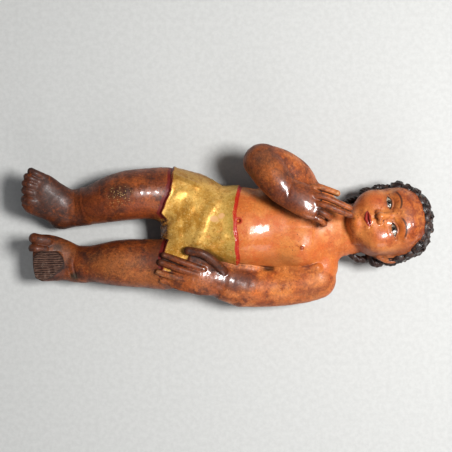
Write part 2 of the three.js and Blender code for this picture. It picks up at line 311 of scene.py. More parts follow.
def toes(places, tone):
    forms = []
    for root, tip, radius in places:
        root, tip = np.array(root), np.array(tip)
        bend = root + 0.6 * (tip - root) + [0, 0, 1.5]
        forms.append(rod([root, bend, tip], radius, blend=0.8, tone=tone))
        nail = tip + [-0.6, 0, radius * 0.55]
        forms.append(Ball(nail, [radius * 0.5, radius * 0.5, radius * 0.55], blend=0.3, tone=tone))
    return forms


trunk = Group(
    [
        Limb(TORSO, blend=4, ends=(17, 10), tone=BODY_TONE),
        Ball([-26, 19, 16], [23, 21, 17.5], blend=5, tone=0.5),
        Ball([-26, -21, 16], [23, 21, 17.5], blend=5, tone=0.5),
        Ball([75, -31, 21], [12.8, 14.5, 13.5], blend=6, tone=BODY_TONE),
        Ball([71, 20, 21], [12, 12.5, 13.5], blend=6, tone=BODY_TONE),
        Ball([57, -15, 35.6], [15, 14, 11.2], blend=7, tone=BODY_TONE),
        Ball([57, 14, 35.6], [15, 14, 11.2], blend=7, tone=BODY_TONE),
        Ball([13, -6, 36], [19, 20, 12.8], blend=7, tone=BODY_TONE),
        Ball([57.5, -16.5, 46.4], [1.6, 1.6, 1.8], blend=1, tone=BODY_TONE),
        Ball([57.5, 14.5, 46.4], [1.6, 1.6, 1.8], blend=1, tone=BODY_TONE),
    ],
)
right_leg = Group(
    [
        Limb(RIGHT_LEG[:8], blend=5, ends=(12, 6), tone=LEG_TONE),
        Limb(RIGHT_LEG[6:], blend=3, ends=(6, 3), tone=FOOT_TONE),
        Ball([-129.5, 8.7, 14], [12.6, 11.4, 12.5], blend=4, tone=FOOT_TONE),
        *toes(RIGHT_TOES, FOOT_TONE),
    ],
)
left_leg = Group(
    [
        Limb(LEFT_LEG[:8], blend=5, ends=(12, 6), tone=LEG_TONE),
        Limb(LEFT_LEG[6:], blend=3, ends=(6, 2.4), tone=FOOT_TONE * 0.8),
        Ball([-128, -28.5, 12.5], [10, 10, 11.5], blend=4, tone=FOOT_TONE * 0.8),
        *toes(LEFT_TOES, FOOT_TONE),
    ],
)

# Arms

LEFT_ARM = [
    [71, -41, 21.5, 16, 15, 15],
    [61, -44.5, 21.5, 15.6, 15, 14.5],
    [43, -47.6, 21, 15, 14.5, 14],
    [26, -48, 21, 15.4, 15, 14.5],
    [13, -47, 22, 15.8, 15, 15],
    [0, -43.2, 26.5, 14.5, 13, 14],
    [-9, -41, 32, 13, 10, 10.5],
    [-18, -40.2, 37, 13.2, 7.5, 9],
    [-27, -38.4, 40, 12.6, 5, 7],
    [-36, -36.4, 40, 12.2, 3.4, 6],
    [-45, -33.8, 38.5, 9.6, 2.6, 5],
]
ARM_WEB = [
    [70, -32, 18, 8, 20, 10],
    [56, -33, 18, 6.5, 17.5, 10],
    [44, -33, 18, 6, 13, 9],
    [33, -33, 17, 5, 8, 8],
    [22, -32.5, 18, 6, 12, 9],
    [8, -31, 18, 6.5, 15, 9],
    [-6, -30, 22, 7, 14, 12],
]
THUMB_WEB = [
    [-10, -31, 39, 5, 4, 6],
    [-18, -26.6, 41.5, 5, 2.4, 5],
    [-27, -24.4, 42.5, 4, 1.8, 4],
]
RIGHT_UPPER_ARM = [
    [57, 28, 24, 15, 14, 14],
    [55.5, 33, 27, 14.8, 15, 15],
    [50, 39.5, 33, 14.5, 15, 15],
    [40, 45, 40, 14.4, 14, 14],
    [29, 48.5, 46, 13.6, 13, 13],
]
RIGHT_FOREARM = [
    [26.6, 49.4, 46.5, 13.7, 13, 13],
    [33.5, 39.5, 52.5, 13.6, 12.8, 12.5],
    [40, 30.6, 55, 12.1, 11.3, 11.5],
    [45.8, 25.4, 56.4, 11.4, 8.9, 10],
    [54, 21.2, 58, 12, 7.6, 8.6],
    [61.5, 17.6, 58.6, 12.6, 6, 7.2],
    [67, 15.6, 58.6, 11.4, 4.2, 5],
]
RIGHT_FINGERS = [
    # the finger's route, its radius, its tone and how worn it is
    ([[63, 22.6, 60], [72, 21.8, 61.4], [83, 17.4, 60.5], [92.4, 13.3, 58]], 2.5, 0.6, 0.4),
    ([[66, 16.6, 60.6], [74, 15.2, 62], [84.5, 11.2, 60.8], [93.4, 7.9, 58]], 2.6, 0.65, 0.3),
    ([[66, 12.5, 60.5], [73, 9.2, 61], [77.5, 6.6, 57.5], [76.5, 5, 51]], 2.6, 0.75, 0.3),
    ([[64, 7.6, 60], [70, 4.2, 59.6], [73.6, 1.8, 55.6], [72, 0.6, 49]], 2.5, 0.6, 0.45),
    ([[58, 26, 56], [67, 29.3, 56.5], [75.5, 27.2, 57], [83, 24.4, 57]], 2.75, 0.3, 0.9),
]
LEFT_FINGERS = [
    ([[-17, -33, 42], [-33, -27.6, 44], [-47.4, -22.2, 43.2]], 2.65, 0.8, 0.35),
    ([[-22, -37, 42.5], [-37, -32.2, 44.2], [-49.6, -27.6, 43.6]], 2.9, 0.85, 0.2),
    ([[-26, -42.2, 41], [-40, -38.8, 42.4], [-52, -35, 42]], 2.6, 0.8, 0.6),
    ([[-29, -48.2, 38], [-40, -45.3, 39.5], [-49.4, -41.8, 38.8]], 2.3, 0.75, 0.6),
    ([[-2, -35, 37.5], [-10, -26.4, 44], [-18, -21, 47.2], [-28.8, -18.8, 46.6]], 3.6, 1.35, 0.0),
]


def fingers(routes, blend):
    forms = []
    for route, radius, tone, wear in routes:
        forms.append(rod(route, radius, radius * 0.88, blend=blend, tone=tone, wear=wear))
        tip, before = np.array(route[-1]), np.array(route[-2])
        if before[2] - tip[2] < 4:
            nail = tip + unit(before - tip) * 0.2 + np.array([0, 0, radius * 0.5])
            forms.append(Ball(nail, [radius * 0.62, radius * 0.5, radius * 0.5], 0.3, tone, wear))
    return forms


left_arm = Group(
    [
        Limb(LEFT_ARM[:6], blend=4, ends=(15, 8), tone=ARM_TONE),
        Limb(LEFT_ARM[4:], blend=3, ends=(8, 5), tone=FOREARM_TONE),
        Limb(ARM_WEB, blend=3, tone=ARM_TONE),
        Limb(THUMB_WEB, blend=2, tone=1.0),
        *fingers(LEFT_FINGERS, 0.8),
    ],
    hollows=[Ball([33.5, -31.9, 31], [4.6, 1.6, 7], blend=1)],
)
right_arm = Group(
    [
        Limb(RIGHT_UPPER_ARM, blend=4, tone=UPPER_ARM_TONE),
        Limb(RIGHT_FOREARM, blend=1.3, ends=(13, 4), up=(0, 0.28, 1), tone=FOREARM_TONE),
        *fingers(RIGHT_FINGERS, 0.8),
    ],
)

# Loincloth: the body's own form, a little proud of it, between the waist and two hems

CLOTH = 1.1


def waist_line(y):
    """How far towards the chest the loincloth reaches, mm."""
    across = [-45, -28, -10.6, 0.8, 9.9, 20, 29, 45]
    reach = [9.4, 8.9, 7.8, 6.8, 6.3, 8.0, 10.5, 12]
    return np.interp(y, across, reach) + 0.25 * np.sin(y / 2.3)


def hem_line(y):
    """How far down the thighs the loincloth reaches. It runs up under the left hand, mm."""
    across = [-60, -52, -49, -46, -42, -35, -20, -15.4, -10.5, -8, -3, 2, 4.2, 10, 17.6, 27.7, 42, 60]
    reach = [-8, -12, -26, -40, -48, -49, -48.4, -46.9, -45, -51, -53, -50, -45.6, -50.3, -47, -42.6]
    reach += [-41.6, -41]
    return np.interp(y, across, reach) + 0.3 * np.sin(y / 1.7)


def inside_cloth(p):
    """How far a place lies inside the loincloth's outline, mm."""
    return np.minimum(waist_line(p[:, 1]) - p[:, 0], p[:, 0] - hem_line(p[:, 1]))


FOLDS = [
    rod([[-8, 18, 43.5], [-14, 10, 47.5], [-18, -2, 48.2], [-22, -12, 45]], 2.2, 1.2),
    rod([[-2, -8, 48], [-10, -14, 46], [-20, -19, 43.5]], 1.8, 0.9),
    rod([[-28, 12, 44], [-36, 4, 42], [-44, -3, 38]], 2.0, 1.2),
    rod([[-22, 32, 40], [-32, 36, 40], [-42, 38, 38]], 2.2, 1.4),
    rod([[-34, 26, 44], [-40, 20, 44], [-47, 17, 43]], 1.8, 1.0),
]

# Head, in a frame of its own: +X to the crown, +Y to the figure's right, +Z out of the face

HEAD_AT = np.array([124.5, 2, 31.5])
TILT = math.radians(8)
TURN = math.radians(-14)
ROT_Z = np.array([[math.cos(TILT), -math.sin(TILT), 0], [math.sin(TILT), math.cos(TILT), 0], [0, 0, 1]])
ROT_X = np.array([[1, 0, 0], [0, math.cos(TURN), -math.sin(TURN)], [0, math.sin(TURN), math.cos(TURN)]])
HEAD_ROT = ROT_Z @ ROT_X


def to_head(p):
    return (p - HEAD_AT) @ HEAD_ROT


def from_head(p):
    return np.asarray(p) @ HEAD_ROT.T + HEAD_AT


SKULL = [
    [-25, 0, 8, 15, 14, 12],
    [-19, 0, 5, 21.5, 18.4, 17],
    [-12, 0, 2.5, 24.6, 21.4, 22],
    [-4, 0, 1, 26, 23.4, 27],
    [4, 0, -0.5, 26.7, 25.4, 29.6],
    [11.5, 0, -1, 26.3, 26, 30],
    [18, 0, -1.6, 23.6, 23.4, 27.6],
]
EYE_AT = (0.4, 10.5, 16.4)
EYEBALL = 6.4
LID = 0.75
EYE_WIDTH = 5.3
MOUTH = -17.1
MOUTH_WIDTH = 6.7


def both(make):
    return [form for s in (-1, 1) for form in make(s)]


head = Group(
    [
        Limb(SKULL, blend=3, ends=(7, 11.8), fullness=2.25),
        Ball([-25.5, 0, 14.6], [6, 8.6, 9], blend=5),
        Ball([11, 0, 12], [14, 20, 14.2], blend=6),
        Ball([-15.5, 0, 20.6], [7, 9, 4.6], blend=4),
        rod([[6, 0, 21.4], [-1.5, 0, 24.3], [-7.8, 0, 26.6]], 1.8, 2.8, blend=2.4),
        Ball([-8.5, 0, 27.0], [2.8, 3.1, 2.7], blend=1.2),
        *both(
            lambda s: [
                Ball([-11, 12.6 * s, 12.2], [12, 11.4, 11.6], blend=6),
                Ball([8.6, 10 * s, 20.4], [3.6, 8.5, 3.6], blend=4),
                Ball([-9.2, 3.5 * s, 24.8], [2.2, 2.2, 2.5], blend=1),
                rod([[3.4, 26 * s, -1.5], [4.6, 28 * s, -3.6], [0, 29.6 * s, -4.4], [-6, 28.8 * s, -2.4],
                     [-10.5, 26.4 * s, 0.6]], 1.5, 1.3, blend=0.8),
                Ball([-3, 26 * s, -1.2], [6, 2.6, 3.4], blend=1.6),
                Ball([-11, 25.4 * s, 1.6], [2.3, 1.9, 2.2], blend=1.2),
                Ball([-3.6, 25.8 * s, 2.6], [1.8, 1.2, 1.2], blend=0.8),
            ]
        ),
    ],
    hollows=[
        *both(
            lambda s: [
                Ball([0.8, 10.4 * s, 28.4], [5.6, 7.6, 6.4], blend=2.6),
                Ball([-11.2, 1.75 * s, 26.4], [0.9, 1.0, 1.7], blend=0.5),
                Ball([-3, 28.6 * s, -0.4], [3.2, 1.5, 1.9], blend=0.8),
            ]
        ),
        Ball([-22.4, 0, 26.4], [1.6, 5.5, 2.3], blend=1.8),
    ],
)


def eye_opening(q, s):
    """How far a place is outside the almond between the lids, seen from the front, mm."""
    dx = q[:, 0] - EYE_AT[0]
    across = np.clip(1 - ((q[:, 1] - s * EYE_AT[1]) / EYE_WIDTH) ** 2, 0, 1)
    upper = dx - (2.35 * across**0.85 - 0.2)
    lower = -dx - (1.75 * across - 0.2)
    beyond = (np.abs(q[:, 1] - s * EYE_AT[1]) - EYE_WIDTH) * 0.8
    return np.maximum(np.maximum(upper, lower), beyond)


def mouth_lines(y):
    """The line between the lips, the top of the upper lip and the bottom of the lower lip."""
    t = np.clip(np.abs(y) / MOUTH_WIDTH, 0, 1)
    middle = MOUTH - 0.35 * np.exp(-((y / 1.3) ** 2)) + 0.35 * t**2
    top = middle + 2.7 * (1 - t) ** 0.75 - 0.35 * np.exp(-((y / 1.0) ** 2))
    bottom = middle - 3.1 * (1 - t**2) ** 0.9
    return middle, top, bottom


def inside_lips(q):
    """How far a place lies inside the outline of the lips, mm."""
    middle, top, bottom = mouth_lines(q[:, 1])
    edge = np.minimum(top - q[:, 0], q[:, 0] - bottom) * 0.85
    return np.where(q[:, 2] > 15, np.minimum(edge, MOUTH_WIDTH - np.abs(q[:, 1])), -9)


def lip_relief(q):
    """How far the lips stand out of the face, mm."""
    middle, top, bottom = mouth_lines(q[:, 1])
    x = q[:, 0]
    full = np.sqrt(np.clip(1 - (q[:, 1] / MOUTH_WIDTH) ** 2, 0, 1))
    over = np.clip((x - middle) / np.maximum(top - middle, 0.1), 0, 1)
    under = np.clip((middle - x) / np.maximum(middle - bottom, 0.1), 0, 1)
    relief = 0.95 * np.sin(math.pi * over) ** 0.8 + 1.15 * np.sin(math.pi * under) ** 0.8
    crease = 0.75 * np.exp(-(((x - middle) / 0.5) ** 2))
    corner = 0.5 * np.exp(-((np.abs(q[:, 1]) - MOUTH_WIDTH - 0.3) ** 2 + (x - MOUTH - 0.2) ** 2) / 0.8)
    groove = 0.45 * np.exp(-((q[:, 1] / 0.8) ** 2)) * np.clip((x + 14.8) / 1.2, 0, 1)
    groove *= np.clip((-11.0 - x) / 1.0, 0, 1)
    return np.where(q[:, 2] > 15, (relief - crease) * full - corner - groove, 0)


SIDE_LOCKS = [
    ([[6, 24, -11], [2, 28.4, -12], [-4, 28.4, -10], [-6, 24, -8]], 3.0),
    ([[-5, 23, -12], [-9, 27.4, -13], [-14, 27, -11.5], [-16, 22.6, -9]], 3.4),
    ([[-13, 19, -14], [-19, 22.6, -15], [-26, 21.6, -14], [-31, 16.6, -11]], 3.2),
]


def side_lock(points, radius, s):
    shift = 1 if s > 0 else 0
    lift = 9 if s > 0 else 0
    return rod([[x, s * (y + shift), z + lift] for x, y, z in points], radius, radius * 0.7, blend=0.8)


hair = Group([Limb(SKULL, blend=0.5, ends=(7, 11.8), fullness=2.25, grow=0.8)])
locks = Group(both(lambda s: [side_lock(points, radius, s) for points, radius in SIDE_LOCKS]))


def behind_hairline(q):
    """How far a place in the head's frame lies behind the hairline, mm."""
    return 1.0 + q[:, 0] * math.tan(math.radians(28)) - q[:, 2]


def head_distance(q):
    d = head.distance(q) - lip_relief(q)
    front = q[:, 2] > 12
    if front.any():
        f = q[front]
        face = d[front]
        for s in (-1, 1):
            ball = np.linalg.norm(f - [EYE_AT[0], s * EYE_AT[1], EYE_AT[2]], axis=1) - EYEBALL
            opening = eye_opening(f, s)
            face = soft_min(face, ball - LID, 1.6)
            fold = 0.45 * np.exp(-(((opening - 1.7) / 0.45) ** 2)) * (f[:, 0] > EYE_AT[0])
            face = soft_max(face + fold, -opening, 0.3)
            face = soft_min(face, ball, 0.15)
        d[front] = face
    angle = np.arctan2(q[:, 1], q[:, 0] + 6)
    strands = 0.35 * np.sin(25 * angle + 0.5 * q[:, 2])
    cap = soft_max(hair.distance(q) - strands, -behind_hairline(q), 1.2)
    d = soft_min(d, cap, 0.5)
    twist = 0.3 * np.sin(1.5 * q[:, 0] + 1.1 * q[:, 1] - 1.4 * q[:, 2])
    return soft_min(d, locks.distance(q) + twist, 0.8)


def torn_grain(p):
    """How far the fibres of the torn wood stand up, mm."""
    drift = 0.9 * np.sin(p[:, 0] * 0.16) + 0.5 * np.sin(p[:, 0] * 0.41 + p[:, 1]) + 0.05 * p[:, 0]
    lines = 0.3 * np.sin(p[:, 1] * 3.7 + drift) + 0.12 * np.sin(p[:, 1] * 7.7 + 1.9 - drift)
    return lines + 0.14 * ripple(p * [0.25, 1, 0.2], 1.8, 5)


def inside_break(p):
    """How far a place lies inside the outline of the split seen from above, mm."""
    across = np.abs(p[:, 0] + 137.9) / 12.3
    down = np.abs(p[:, 1] + 31.2) / 11.8
    return (1 - (across**2.6 + down**2.6) ** (1 / 2.6)) * 12


def lost_toes(p):
    """Below zero where the left foot has split away along the grain."""
    floor = BREAK_HEIGHT + (p[:, 0] + 136) * BREAK_SLOPE + torn_grain(p)
    above = floor - p[:, 2]
    return soft_max(above, p[:, 1] - BREAK_EDGE, 0.6)


CREASES = [
    # a line across the form, its depth and its breadth, mm
    (rod([[-112, -12, 25], [-116, -20, 30.5], [-118, -30, 32], [-116, -42, 27]], 0.4), 0.9, 0.8),
    (rod([[-116, -11, 23], [-120, -20, 30], [-122, -30, 32], [-120, -42, 27]], 0.4), 0.5, 0.7),
    (rod([[-112, 2, 22], [-114, 10, 27.5], [-114, 18, 27.5], [-111, 28, 22]], 0.4), 0.6, 1.2),
    (rod([[50, 13, 58], [47, 18, 62.5], [46.5, 26, 65], [50, 34, 60]], 0.4), 0.5, 0.9),
    (rod([[-10, -30, 38], [-9, -38, 43.5], [-7, -46, 42], [-5, -54, 34]], 0.4), 0.55, 0.9),
    (rod([[86, -22, 32], [88, -10, 41], [88, 4, 41.5], [85, 18, 34]], 0.4), 0.5, 1.6),
    (rod([[33, 50, 60], [38, 44, 60], [44, 41, 56]], 0.4), 0.7, 1.2),
]
NAVEL = Ball([9.6, 4.0, 48.6], [1.4, 1.4, 1.7])


def fine_carving(p):
    """How far small creases and hollows are cut in, mm."""
    depth = np.zeros(len(p))
    for line, deep, broad in CREASES:
        near = np.flatnonzero(((p > line.low - 4) & (p < line.high + 4)).all(axis=1))
        if len(near):
            depth[near] += deep * np.exp(-((np.maximum(line.distance(p[near]) + 0.4, 0) / broad) ** 2))
    chest = np.clip((p[:, 2] - 34) / 6, 0, 1) * np.clip((p[:, 0] - 36) / 10, 0, 1)
    chest *= np.clip((78 - p[:, 0]) / 10, 0, 1)
    return depth + 0.7 * chest * np.exp(-(((p[:, 1] + 0.5) / 3.2) ** 2))


def figure(p, tones=None):
    """The distance of places from the carved surface, mm. Below zero is wood."""
    left = left_leg.distance(p, tones)
    left = np.where(p[:, 0] < -112, soft_max(left, -lost_toes(p), 0.35), left)
    body = soft_min(trunk.distance(p, tones), right_leg.distance(p, tones), 4.5)
    body = soft_min(body, left, 4.5)
    cloth_zone = (p[:, 0] > -62) & (p[:, 0] < 20)
    if cloth_zone.any():
        q = p[cloth_zone]
        ridge = np.zeros(len(q))
        for fold in FOLDS:
            ridge += 0.9 * np.exp(-((np.maximum(fold.distance(q), -0.5) + 0.5) ** 2) / 5)
        edge = inside_cloth(q)
        hem = 0.35 * np.exp(-((edge - 1.4) ** 2) / 1.6)
        thick = CLOTH + ridge * np.clip(edge / 4, 0, 1) + hem + 0.15 * ripple(q, 9, 3)
        cloth = soft_max(body[cloth_zone] - thick, -edge, 0.7)
        body[cloth_zone] = soft_min(body[cloth_zone], cloth, 0.25)
    d = soft_min(body, left_arm.distance(p, tones), 1.0)
    shoulder = np.clip((p[:, 0] - 48) / 10, 0, 1) * np.clip((46 - p[:, 2]) / 8, 0, 1)
    d = soft_min(d, right_arm.distance(p, tones), 0.6 + 4.5 * shoulder)
    near = np.flatnonzero(p[:, 0] > 80)
    if len(near):
        own = head_distance(to_head(p[near]))
        d[near] = soft_min(d[near], own, 1.6)
        if tones is not None:
            tones[near] += np.exp(-np.clip(own, -3, 8) / 0.7)[:, None] * [FACE_TONE, 0, 1]
    d += 0.1 * ripple(p, 14, 1) + 0.045 * ripple(p, 4.5, 2) + fine_carving(p)
    d = soft_max(d, -NAVEL.distance(p), 1.0)
    return soft_max(d, 0.02 - p[:, 2], 0.3)


def in_chunks(job, p, size=160000):
    return np.concatenate([job(p[i : i + size]) for i in range(0, len(p), size)])


def skin_over(distance, marks):
    """A net of quads over the surface where distance is zero.

    marks holds the places of the lattice's planes along each axis.
    """
    block = 4
    shape = np.array([len(m) for m in marks])
    count = (shape - 1) // block
    widest = max(np.diff(m).max() for m in marks)

    def place(nodes):
        return np.stack([np.interp(nodes[:, i], np.arange(shape[i]), marks[i]) for i in range(3)], axis=1)

    def keep(blocks, size):
        middle = place((blocks + 0.5) * size)
        return blocks[np.abs(in_chunks(distance, middle)) < 0.87 * size * widest * 1.25 + SPARE]

    coarse = np.argwhere(np.ones(count // 2, bool))
    coarse = keep(coarse, block * 2)
    corners = np.argwhere(np.ones((2, 2, 2), bool))
    blocks = (coarse[:, None] * 2 + corners[None]).reshape(-1, 3)
    blocks = keep(blocks, block)
    wanted = np.zeros(shape, bool)
    for offset in np.argwhere(np.ones((block + 1,) * 3, bool)):
        wanted[tuple((blocks * block + offset).T)] = True
    nodes = np.argwhere(wanted)
    field = np.full(shape, np.nan, np.float32)
    field[tuple(nodes.T)] = in_chunks(distance, place(nodes))
    inside = field < 0
    eight = [
        tuple(slice(o, s - 1 + o) for o, s in zip(offset, shape))
        for offset in np.argwhere(np.ones((2, 2, 2), bool))
    ]
    filled = sum(inside[e].astype(np.uint8) for e in eight)
    known = np.logical_and.reduce([wanted[e] for e in eight])
    active = known & (filled > 0) & (filled < 8)
    cells = np.argwhere(active)
    total = np.zeros((len(cells), 3))
    hits = np.zeros(len(cells))
    for axis in range(3):
        step = np.eye(3, dtype=int)[axis]
        for offset in corners[corners[:, axis] == 0]:
            a = field[tuple((cells + offset).T)]
            b = field[tuple((cells + offset + step).T)]
            cross = (a < 0) != (b < 0)
            t = np.where(cross, a / np.where(cross, a - b, 1), 0)
            total += np.where(cross[:, None], offset + step * t[:, None], 0)
            hits += cross
    points = place(cells + total / hits[:, None])
    number = np.full(shape, -1, np.int32)
    number[tuple(cells.T)] = np.arange(len(cells))
    quads = []
    for axis in range(3):
        step = np.eye(3, dtype=int)[axis]
        u = np.eye(3, dtype=int)[(axis + 1) % 3]
        v = np.eye(3, dtype=int)[(axis + 2) % 3]
        first = cells[(cells > 0).all(axis=1)]
        a = inside[tuple(first.T)]
        b = inside[tuple((first + step).T)]
        edge = first[a != b]
        outward = a[a != b]
        ring = np.stack([number[tuple((edge - o).T)] for o in (0 * u, u, u + v, v)], axis=1)
        whole = (ring >= 0).all(axis=1)
        ring = ring[whole]
        flip = ~outward[whole]
        ring[flip] = ring[flip][:, ::-1]
        quads.append(ring)
    return points, np.concatenate(quads)


def evenly(low, high, steps):
    """Lattice planes from low to high, in a number of steps that whole blocks can fill."""
    count = 8 * math.ceil(steps / 8)
    return np.linspace(low, high, count + 1)


def mesh_from(name, points, faces):
    mesh = bpy.data.meshes.new(name)
    mesh.vertices.add(len(points))
    mesh.vertices.foreach_set("co", (points * MM).astype(np.float32).ravel())
    sides = faces.shape[1]
    mesh.loops.add(len(faces) * sides)
    mesh.loops.foreach_set("vertex_index", faces.astype(np.int32).ravel())
    mesh.polygons.add(len(faces))
    mesh.polygons.foreach_set("loop_start", np.arange(0, len(faces) * sides, sides, dtype=np.int32))
    mesh.update(calc_edges=True)
    mesh.validate()
    return mesh


def places_of(mesh):
    flat = np.empty(len(mesh.vertices) * 3, np.float32)
    mesh.vertices.foreach_get("co", flat)
    return flat.reshape(-1, 3).astype(float) / MM


def add(name, mesh):
    thing = bpy.data.objects.new(name, mesh)
    bpy.context.collection.objects.link(thing)
    return thing


def finished_mesh(thing, name):
    """The thing's mesh with its modifiers applied, and the modifiers gone."""
    graph = bpy.context.evaluated_depsgraph_get()
    mesh = bpy.data.meshes.new_from_object(thing.evaluated_get(graph))
    mesh.name = name
    old = thing.data
    thing.modifiers.clear()
    thing.data = mesh
    if hasattr(old, "vertices"):
        bpy.data.meshes.remove(old)
    return mesh


def store(mesh, name, values):
    values = np.asarray(values, np.float32)
    kind = "FLOAT" if values.ndim == 1 else "FLOAT_VECTOR"
    layer = mesh.attributes.new(name, kind, "POINT")
    layer.data.foreach_set("value" if values.ndim == 1 else "vector", values.ravel())


low = np.array(cad_box[0]) / MM + CENTRE - 3
high = np.array(cad_box[1]) / MM + CENTRE + 3
neck = 88.0
marks = [
    np.concatenate(
        [
            evenly(low[0], neck, (neck - low[0]) / CELL)[:-1],
            evenly(neck, high[0], (high[0] - neck) / HEAD_CELL),
        ]
    ),
    evenly(low[1], high[1], (high[1] - low[1]) / CELL),
    evenly(low[2], high[2], (high[2] - low[2]) / CELL),
]
points, quads = skin_over(figure, marks)
carving = add("carved_figure_finish", mesh_from("carved_figure_finish", points, quads))
if len(quads) * 2 > MOST_TRIANGLES:
    thin = carving.modifiers.new("thin", "DECIMATE")
    thin.ratio = MOST_TRIANGLES / (len(quads) * 2)
    thin.use_collapse_triangulate = True
    finished_mesh(carving, "carved_figure_finish")
carving_mesh = carving.data
carving_mesh.polygons.foreach_set("use_smooth", np.ones(len(carving_mesh.polygons), bool))


def slope(p, reach=0.35):
    """The outward direction at places on the surface."""
    ways = np.array([[1, -1, -1], [-1, -1, 1], [-1, 1, -1], [1, 1, 1]], float)
    total = np.zeros_like(p)
    for way in ways:
        total += way * figure(p + way * reach)[:, None]
    return unit(total)


# Where the varnish still shines: the place seen from above and how far it reaches, mm
VARNISH_LEFT = [
    (14, -9, 9), (27, -9, 10), (57, -16, 4), (-64, 28, 9), (-52, 29, 9), (-1, -41, 7), (42, -46, 7),
    (64, 12, 8), (43, 28, 6), (116, -4, 12), (-16, -32, 6), (112, 12, 8), (142, -6, 9),
]

# What the paint needs to know at each place
p = places_of(carving_mesh)
out = in_chunks(slope, p)
p = p - out * np.clip(in_chunks(figure, p), -0.4, 0.4)[:, None]
carving_mesh.vertices.foreach_set("co", (p * MM).astype(np.float32).ravel())
carving_mesh.update()


def gap_shade_and_dirt(p, out):
    """How closed-in each place is, from 0 in the open to 1 in a narrow gap. It darkens the paint there, as
    painted shade and dirt.
    """
    hidden = np.zeros(len(p))
    for reach, share in ((1.2, 0.2), (3, 0.3), (6, 0.3), (11, 0.2)):
        ahead = in_chunks(figure, p + out * reach)
        hidden += share * np.clip(1 - ahead / reach, 0, 1.4)
    return hidden


def roundness(p, out):
    """Above zero on ridges and tips, below zero in hollows."""
    inner = in_chunks(figure, p - out * 1.6) + 1.6
    outer = in_chunks(figure, p + out * 1.6) - 1.6
    return (inner + outer) / 1.6


tones = np.zeros((len(p), 3))
for i in range(0, len(p), 160000):
    figure(p[i : i + 160000], tones[i : i + 160000])
q = to_head(p)
store(carving_mesh, "gap_shade_and_dirt", gap_shade_and_dirt(p, out))
store(carving_mesh, "ridge", roundness(p, out))
whole = np.maximum(tones[:, 2], 1e-6)
store(carving_mesh, "tone", tones[:, 0] / whole)
store(carving_mesh, "wear", tones[:, 1] / whole)
on_arm = np.minimum(left_arm.distance(p), right_arm.distance(p)) < 0.35
store(carving_mesh, "cloth", np.where((np.abs(p[:, 0]) < 70) & ~on_arm, inside_cloth(p), -20))
hairy = np.maximum(np.where(hair.distance(q) < 0.9, behind_hairline(q) - 0.3, -5), 0.9 - locks.distance(q))
store(carving_mesh, "hair", np.where(p[:, 0] > 80, hairy, -20))
bare = np.where(p[:, 0] < -110, 0.45 - np.abs(lost_toes(p)), -5)
bare = np.minimum(bare, np.where(p[:, 1] < BREAK_EDGE + 0.2, 1, -1))
store(carving_mesh, "bare", np.minimum(bare, inside_break(p)))
store(carving_mesh, "grain", torn_grain(p))
store(carving_mesh, "face", np.where(p[:, :1] > 80, q, -99))
in_front = (p[:, 0] > 80) & (q[:, 2] > 12)
store(carving_mesh, "eye", np.where(in_front, -np.minimum(eye_opening(q, -1), eye_opening(q, 1)), -9))
store(carving_mesh, "lips", np.where(in_front, inside_lips(q), -9))
varnish = np.zeros(len(p))
for x, y, reach in VARNISH_LEFT:
    far = np.hypot(p[:, 0] - x, p[:, 1] - y) / reach
    varnish = np.maximum(varnish, np.exp(-(far**4)) * (p[:, 2] > 20))
store(carving_mesh, "varnish", varnish)
# Painted shade under overhangs such as the chin: how much of the figure lies straight above each place
above = np.array([0, 0, 1.0])
overhang_shade = np.zeros(len(p))
for reach in (4, 8, 13, 19):
    overhang_shade += 0.25 * np.clip(1 - in_chunks(figure, p + out * 0.6 + above * reach) / (0.6 * reach), 0, 1.3)
store(carving_mesh, "overhang_shade", overhang_shade)
store(carving_mesh, "carved", p)


# Hair: snail curls set on the scalp by a node tree

SCALP_AT = np.array([5, 0, -1.0])
SCALP = np.array([25.8, 26.8, 30.8])
CURL_ROWS = [
    # how many, degrees back from the face at the crown, more towards the nape, how far round
    (16, 60, 33, 122),
    (15, 81, 30, 136),
    (12, 102, 24, 150),
    (9, 124, 14, 155),
    (5, 147, 4, 144),
]
CURL = 4.5
LEAST_CLEARANCE = 1.26  # height of a curl's seat over the table, in curl sizes


def curl_seats():
    """Where the curls sit, which way is out, and their sizes.

    The hair is left plain where the head rests on the table.
    """
    places, ways, sizes, turns = [], [], [], []
    for count, back, slant, reach in CURL_ROWS:
        for i in range(count):
            around = math.radians(-reach + 2 * reach * i / (count - 1))
            set_back = math.radians(back + slant * (1 - math.cos(around)))
            way = np.array(
                [
                    math.cos(around) * math.sin(set_back),
                    math.sin(around) * math.sin(set_back),
                    math.cos(set_back),
                ]
            )
            place = SCALP_AT + SCALP * way
            out = unit(place - SCALP_AT)
            seat = from_head(place)
            size = CURL * (1.0 if i % 2 else 1.14)
            if seat[2] < size * LEAST_CLEARANCE:
                continue
            places.append(seat)
            ways.append(HEAD_ROT @ out)
            sizes.append(size)
            turns.append(i * 2.1)
    return np.array(places), np.array(ways), np.array(sizes), np.array(turns)


def socket(tree, name, kind, default):
    item = tree.interface.new_socket(name, in_out="INPUT", socket_type=kind)
    item.default_value = default
    return item


